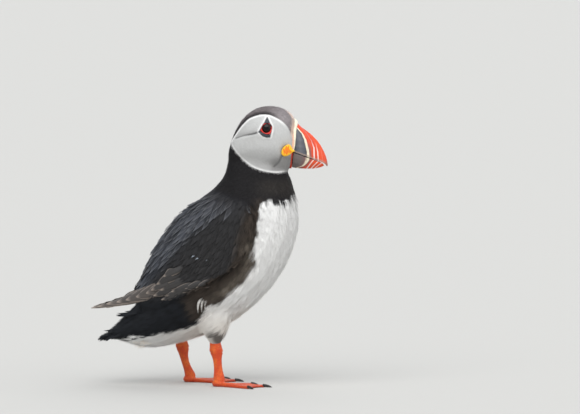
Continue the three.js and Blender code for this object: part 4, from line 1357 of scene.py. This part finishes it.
def wrinkled_finish(name, inner, outer, size, roughness=0.45, bump=0.5):
    """Two tones that the piece's own fade blends, with fine wrinkles."""
    material, tree, shader = finish(name, Roughness=roughness, Specular_IOR_Level=0.4)
    grain = grain_of(tree, own_place(tree), size)
    edge = times_plus(tree, math_node(tree, "SUBTRACT", grain, 0.5), 0.7, attribute(tree, "fade"))
    colour = mixed(tree, ramp_between(tree, edge, 0.3, 0.7), (*inner, 1), (*outer, 1))
    colour = scaled(tree, colour, times_plus(tree, grain, 0.3, 0.85))
    painted(tree, shader, colour, grain, bump, 0.0003)
    return material


def lump(name, node, voxel, material, slot, shape, swell=0.0):
    """A small rounded part. The shape moves its points and says how its two tones fade."""
    mesh = remeshed(solids([node], swell), voxel, 3)
    points = points_of(mesh) / MM
    points, fade = shape(points, normals_of(mesh))
    move_points(mesh, points * MM)
    store(mesh, "fade", fade)
    shown(name, mesh, slot, material, node=node)


RIM_LINE = [(187, 68.3), (189, 68.5), (194.4, 69), (200.3, 69), (206.3, 68.2), (211.9, 67.6), (216, 66.5)]
ROSETTE_CENTRE, ROSETTE_RADII = (63.5, 188.8), (3.9, 4.6)
ROSETTE_SHIFT, ROSETTE_LEAN, ROSETTE_PRESSED = 0.9, 0.28, 0.45
TAB_HEIGHT, EYE_OPENING = 188.3, 0.4


def rim_shape(points, normals):
    forward = points[:, 0] - np.interp(points[:, 2], *np.transpose(RIM_LINE))
    bumps = 0.10 * ripple(points, 0.8, 3)
    bow = 1.0 * soft_band(points[:, 2] - 194, 8)
    return points + normals * bumps[:, None] + np.outer(bow, (1, 0, 0)), smooth(forward, -0.9, 0.2)


def rosette_shape(points, normals):
    across = (points[:, 0] - ROSETTE_CENTRE[0]) / ROSETTE_RADII[0]
    up = (points[:, 2] - ROSETTE_CENTRE[1]) / ROSETTE_RADII[1]
    radius = np.hypot(across, up)
    folds = np.sin((points[:, 0] + 0.35 * points[:, 2]) * 3.1 + 0.8 * np.sin(points[:, 2] * 1.3))
    border = soft_band(radius - 0.85, 0.2)
    wrinkle = 0.25 * folds * smooth(-radius, -0.85, -0.6) + 0.35 * border
    lean = ROSETTE_LEAN * (points[:, 2] - ROSETTE_CENTRE[1]) * smooth(-across, -0.9, 0.2)
    tab = 2.2 * soft_band(points[:, 2] - TAB_HEIGHT, 1.1) * smooth(across, 0.35, 0.95)
    made = points + normals * wrinkle[:, None] + np.outer(ROSETTE_SHIFT + tab + lean, (1, 0, 0))
    outer = np.abs(points[:, 1]) - np.abs(points[:, 1]).mean()
    made[:, 1] -= np.sign(points[:, 1]) * ROSETTE_PRESSED * np.maximum(outer, 0)
    return made, smooth(radius + 0.16 * folds, 0.5, 0.8)


BALL_CENTRE = np.mean([np.array(corner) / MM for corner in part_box("eye_right")], axis=0)[[0, 2]]


def ring_shape(points, normals):
    """Widens the hole of the ring a little, so that more of the eye shows."""
    from_centre = points[:, [0, 2]] - BALL_CENTRE
    radius = np.hypot(*from_centre.T)
    wider = 1 + EYE_OPENING * smooth(-radius, -4.6, -3.3) / radius
    made = points.copy()
    made[:, [0, 2]] = BALL_CENTRE + from_centre * wider[:, None]
    return made + normals * (0.06 * ripple(points, 0.5, 9))[:, None], np.full(len(points), 0.5)


def plain_shape(points, normals):
    return points + normals * (0.06 * ripple(points, 0.5, 9))[:, None], np.full(len(points), 0.5)


RIM_SKIN = wrinkled_finish("rim_skin", (0.80, 0.50, 0.36), (0.86, 0.80, 0.62), 900)
RIM_RED = wrinkled_finish("rim_red", (0.42, 0.022, 0.008), (0.56, 0.055, 0.02), 900)
ROSETTE_SKIN = wrinkled_finish("rosette_skin", (0.90, 0.24, 0.015), (0.92, 0.50, 0.02), 700, roughness=0.5)
RING_SKIN = wrinkled_finish("ring_skin", (0.66, 0.020, 0.012), (0.52, 0.015, 0.010), 1500, roughness=0.4)
PLATE_HORN = wrinkled_finish("plate_horn", (0.018, 0.025, 0.032), (0.045, 0.056, 0.068), 1200, roughness=0.4)

lump("rim_upper_skin", "bill_rim", 0.35, RIM_SKIN, "bill_rim", rim_shape)
lump("rim_lower_skin", "bill_rim_lower", 0.35, RIM_RED, "bill_rim_lower", plain_shape)
for side in BOTH:
    lump(f"rosette_skin_{side}", f"rosette_{side}", 0.22, ROSETTE_SKIN, "gape_rosette", rosette_shape)
    lump(f"eye_ring_skin_{side}", f"eye_ring_{side}", 0.2, RING_SKIN, "eye_ring", ring_shape, 0.05)
    for place in ("upper", "lower"):
        lump(f"eye_horn_{place}_{side}", f"eye_plate_{place}_{side}", 0.2, PLATE_HORN, "eye_plate",
             plain_shape, 0.3)

# %% [markdown]
# ## The eyes
# A puffin's eye is small, dark and very wet. The ball is a sphere, scaled to its socket and set deep
# in it, and only its front shows inside the red ring. Pupil and iris are told apart by the distance
# from the eye's axis, and a smooth glossy surface gives the sharp glint that makes the bird look alive.

# %% Eyeballs
PUPIL, IRIS, EYE_SPREAD, EYE_FORWARD = 1.75, 2.75, 1.1, 0.45
IRIS_BROWN, PUPIL_BLACK = (0.016, 0.009, 0.006), (0.002, 0.002, 0.002, 1)
EYE_BORDER = (0.006, 0.004, 0.004, 1)
EYE, tree, shader = finish("eye", Roughness=0.05, Specular_IOR_Level=0.25)
ring = ramp_between(tree, attribute(tree, "radius"), PUPIL - 0.1, PUPIL + 0.15)
fibres = grain_of(tree, own_place(tree), 2500.0, 2.0)
iris = scaled(tree, IRIS_BROWN, math_node(tree, "ADD", fibres, 0.3))
colour = mixed(tree, ring, PUPIL_BLACK, iris)
edge = ramp_between(tree, attribute(tree, "radius"), IRIS - 0.1, IRIS + 0.25)
tree.links.new(mixed(tree, edge, colour, EYE_BORDER), shader.inputs["Base Color"])

for side in BOTH:
    low, high = (np.array(corner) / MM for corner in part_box(f"eye_{side}"))
    centre, radius = (low + high) / 2, (high[2] - low[2]) / 2
    work = bmesh.new()
    bmesh.ops.create_icosphere(work, subdivisions=4, radius=float(radius))
    mesh = bpy.data.meshes.new(f"eyeball_{side}")
    work.to_mesh(mesh)
    work.free()
    points = points_of(mesh)
    store(mesh, "radius", np.hypot(points[:, 0], points[:, 2]))
    reach = (high[1] - low[1]) / 2
    points *= (EYE_SPREAD, reach / radius, EYE_SPREAD)
    centre[1] += SIGN[side] * EYE_FORWARD
    move_points(mesh, (points + centre) * MM)
    shown(f"eyeball_{side}", mesh, "eye", EYE, node=f"eye_{side}")
    print("eyeball", side, "radius", round(float(radius), 2), "mm")

# %% [markdown]
# ## Legs, feet and claws
# The skin of the legs is bare, bright orange and scaly: small round scales on the shin and the
# webs, and short broad plates along the toes. Cells of a Voronoi texture give the scales. The claws
# are dark horn, smooth and slightly worn.

# %% Scales of the legs
DEEP_ORANGE, ORANGE = (0.72, 0.070, 0.010, 1), (0.84, 0.150, 0.016, 1)
# The webs are redder. Below the first height a point is in a web, and above the second it is not.
WEB_RED, WEB_HEIGHTS = (0.52, 0.040, 0.008, 1), (0.0016, 0.0032)
LEG_SKIN, tree, shader = finish("leg_skin", Roughness=0.42, Specular_IOR_Level=0.45)
place = own_place(tree)
cells = add(tree, "ShaderNodeTexVoronoi", {"Vector": place, "Scale": 900.0},
            feature="DISTANCE_TO_EDGE").outputs[0]
blotch = grain_of(tree, place, 160.0)
scale_top = ramp_between(tree, cells, 0.0, 0.16)
colour = mixed(tree, ramp_between(tree, blotch, 0.35, 0.7), DEEP_ORANGE, ORANGE)
height = add(tree, "ShaderNodeSeparateXYZ", {"Vector": place}).outputs["Z"]
web = math_node(tree, "SUBTRACT", 1.0, ramp_between(tree, height, *WEB_HEIGHTS))
colour = mixed(tree, times(tree, web, 0.6), colour, WEB_RED)
colour = scaled(tree, colour, times_plus(tree, scale_top, 0.28, 0.72))
painted(tree, shader, colour, scale_top, 0.6, 0.0004)
skin_mesh.materials.append(LEG_SKIN)
print("leg finish:", len(tree.nodes), "nodes")

CLAW_HORN = wrinkled_finish("claw_horn", (0.020, 0.017, 0.016), (0.045, 0.038, 0.034), 1200, roughness=0.32)
for side in BOTH:
    for toe in ("outer", "middle", "inner"):
        lump(f"claw_horn_{toe}_{side}", f"claw_{toe}_{side}", 0.2, CLAW_HORN, "claw", plain_shape)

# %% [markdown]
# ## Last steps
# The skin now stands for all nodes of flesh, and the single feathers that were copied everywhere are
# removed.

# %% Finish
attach(skin_object, "root")
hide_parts(*FEATHERED, *leg_names)
for shape in (VANE, LANCE, SOFT, WISP, BRISTLE):
    bpy.data.objects.remove(shape)
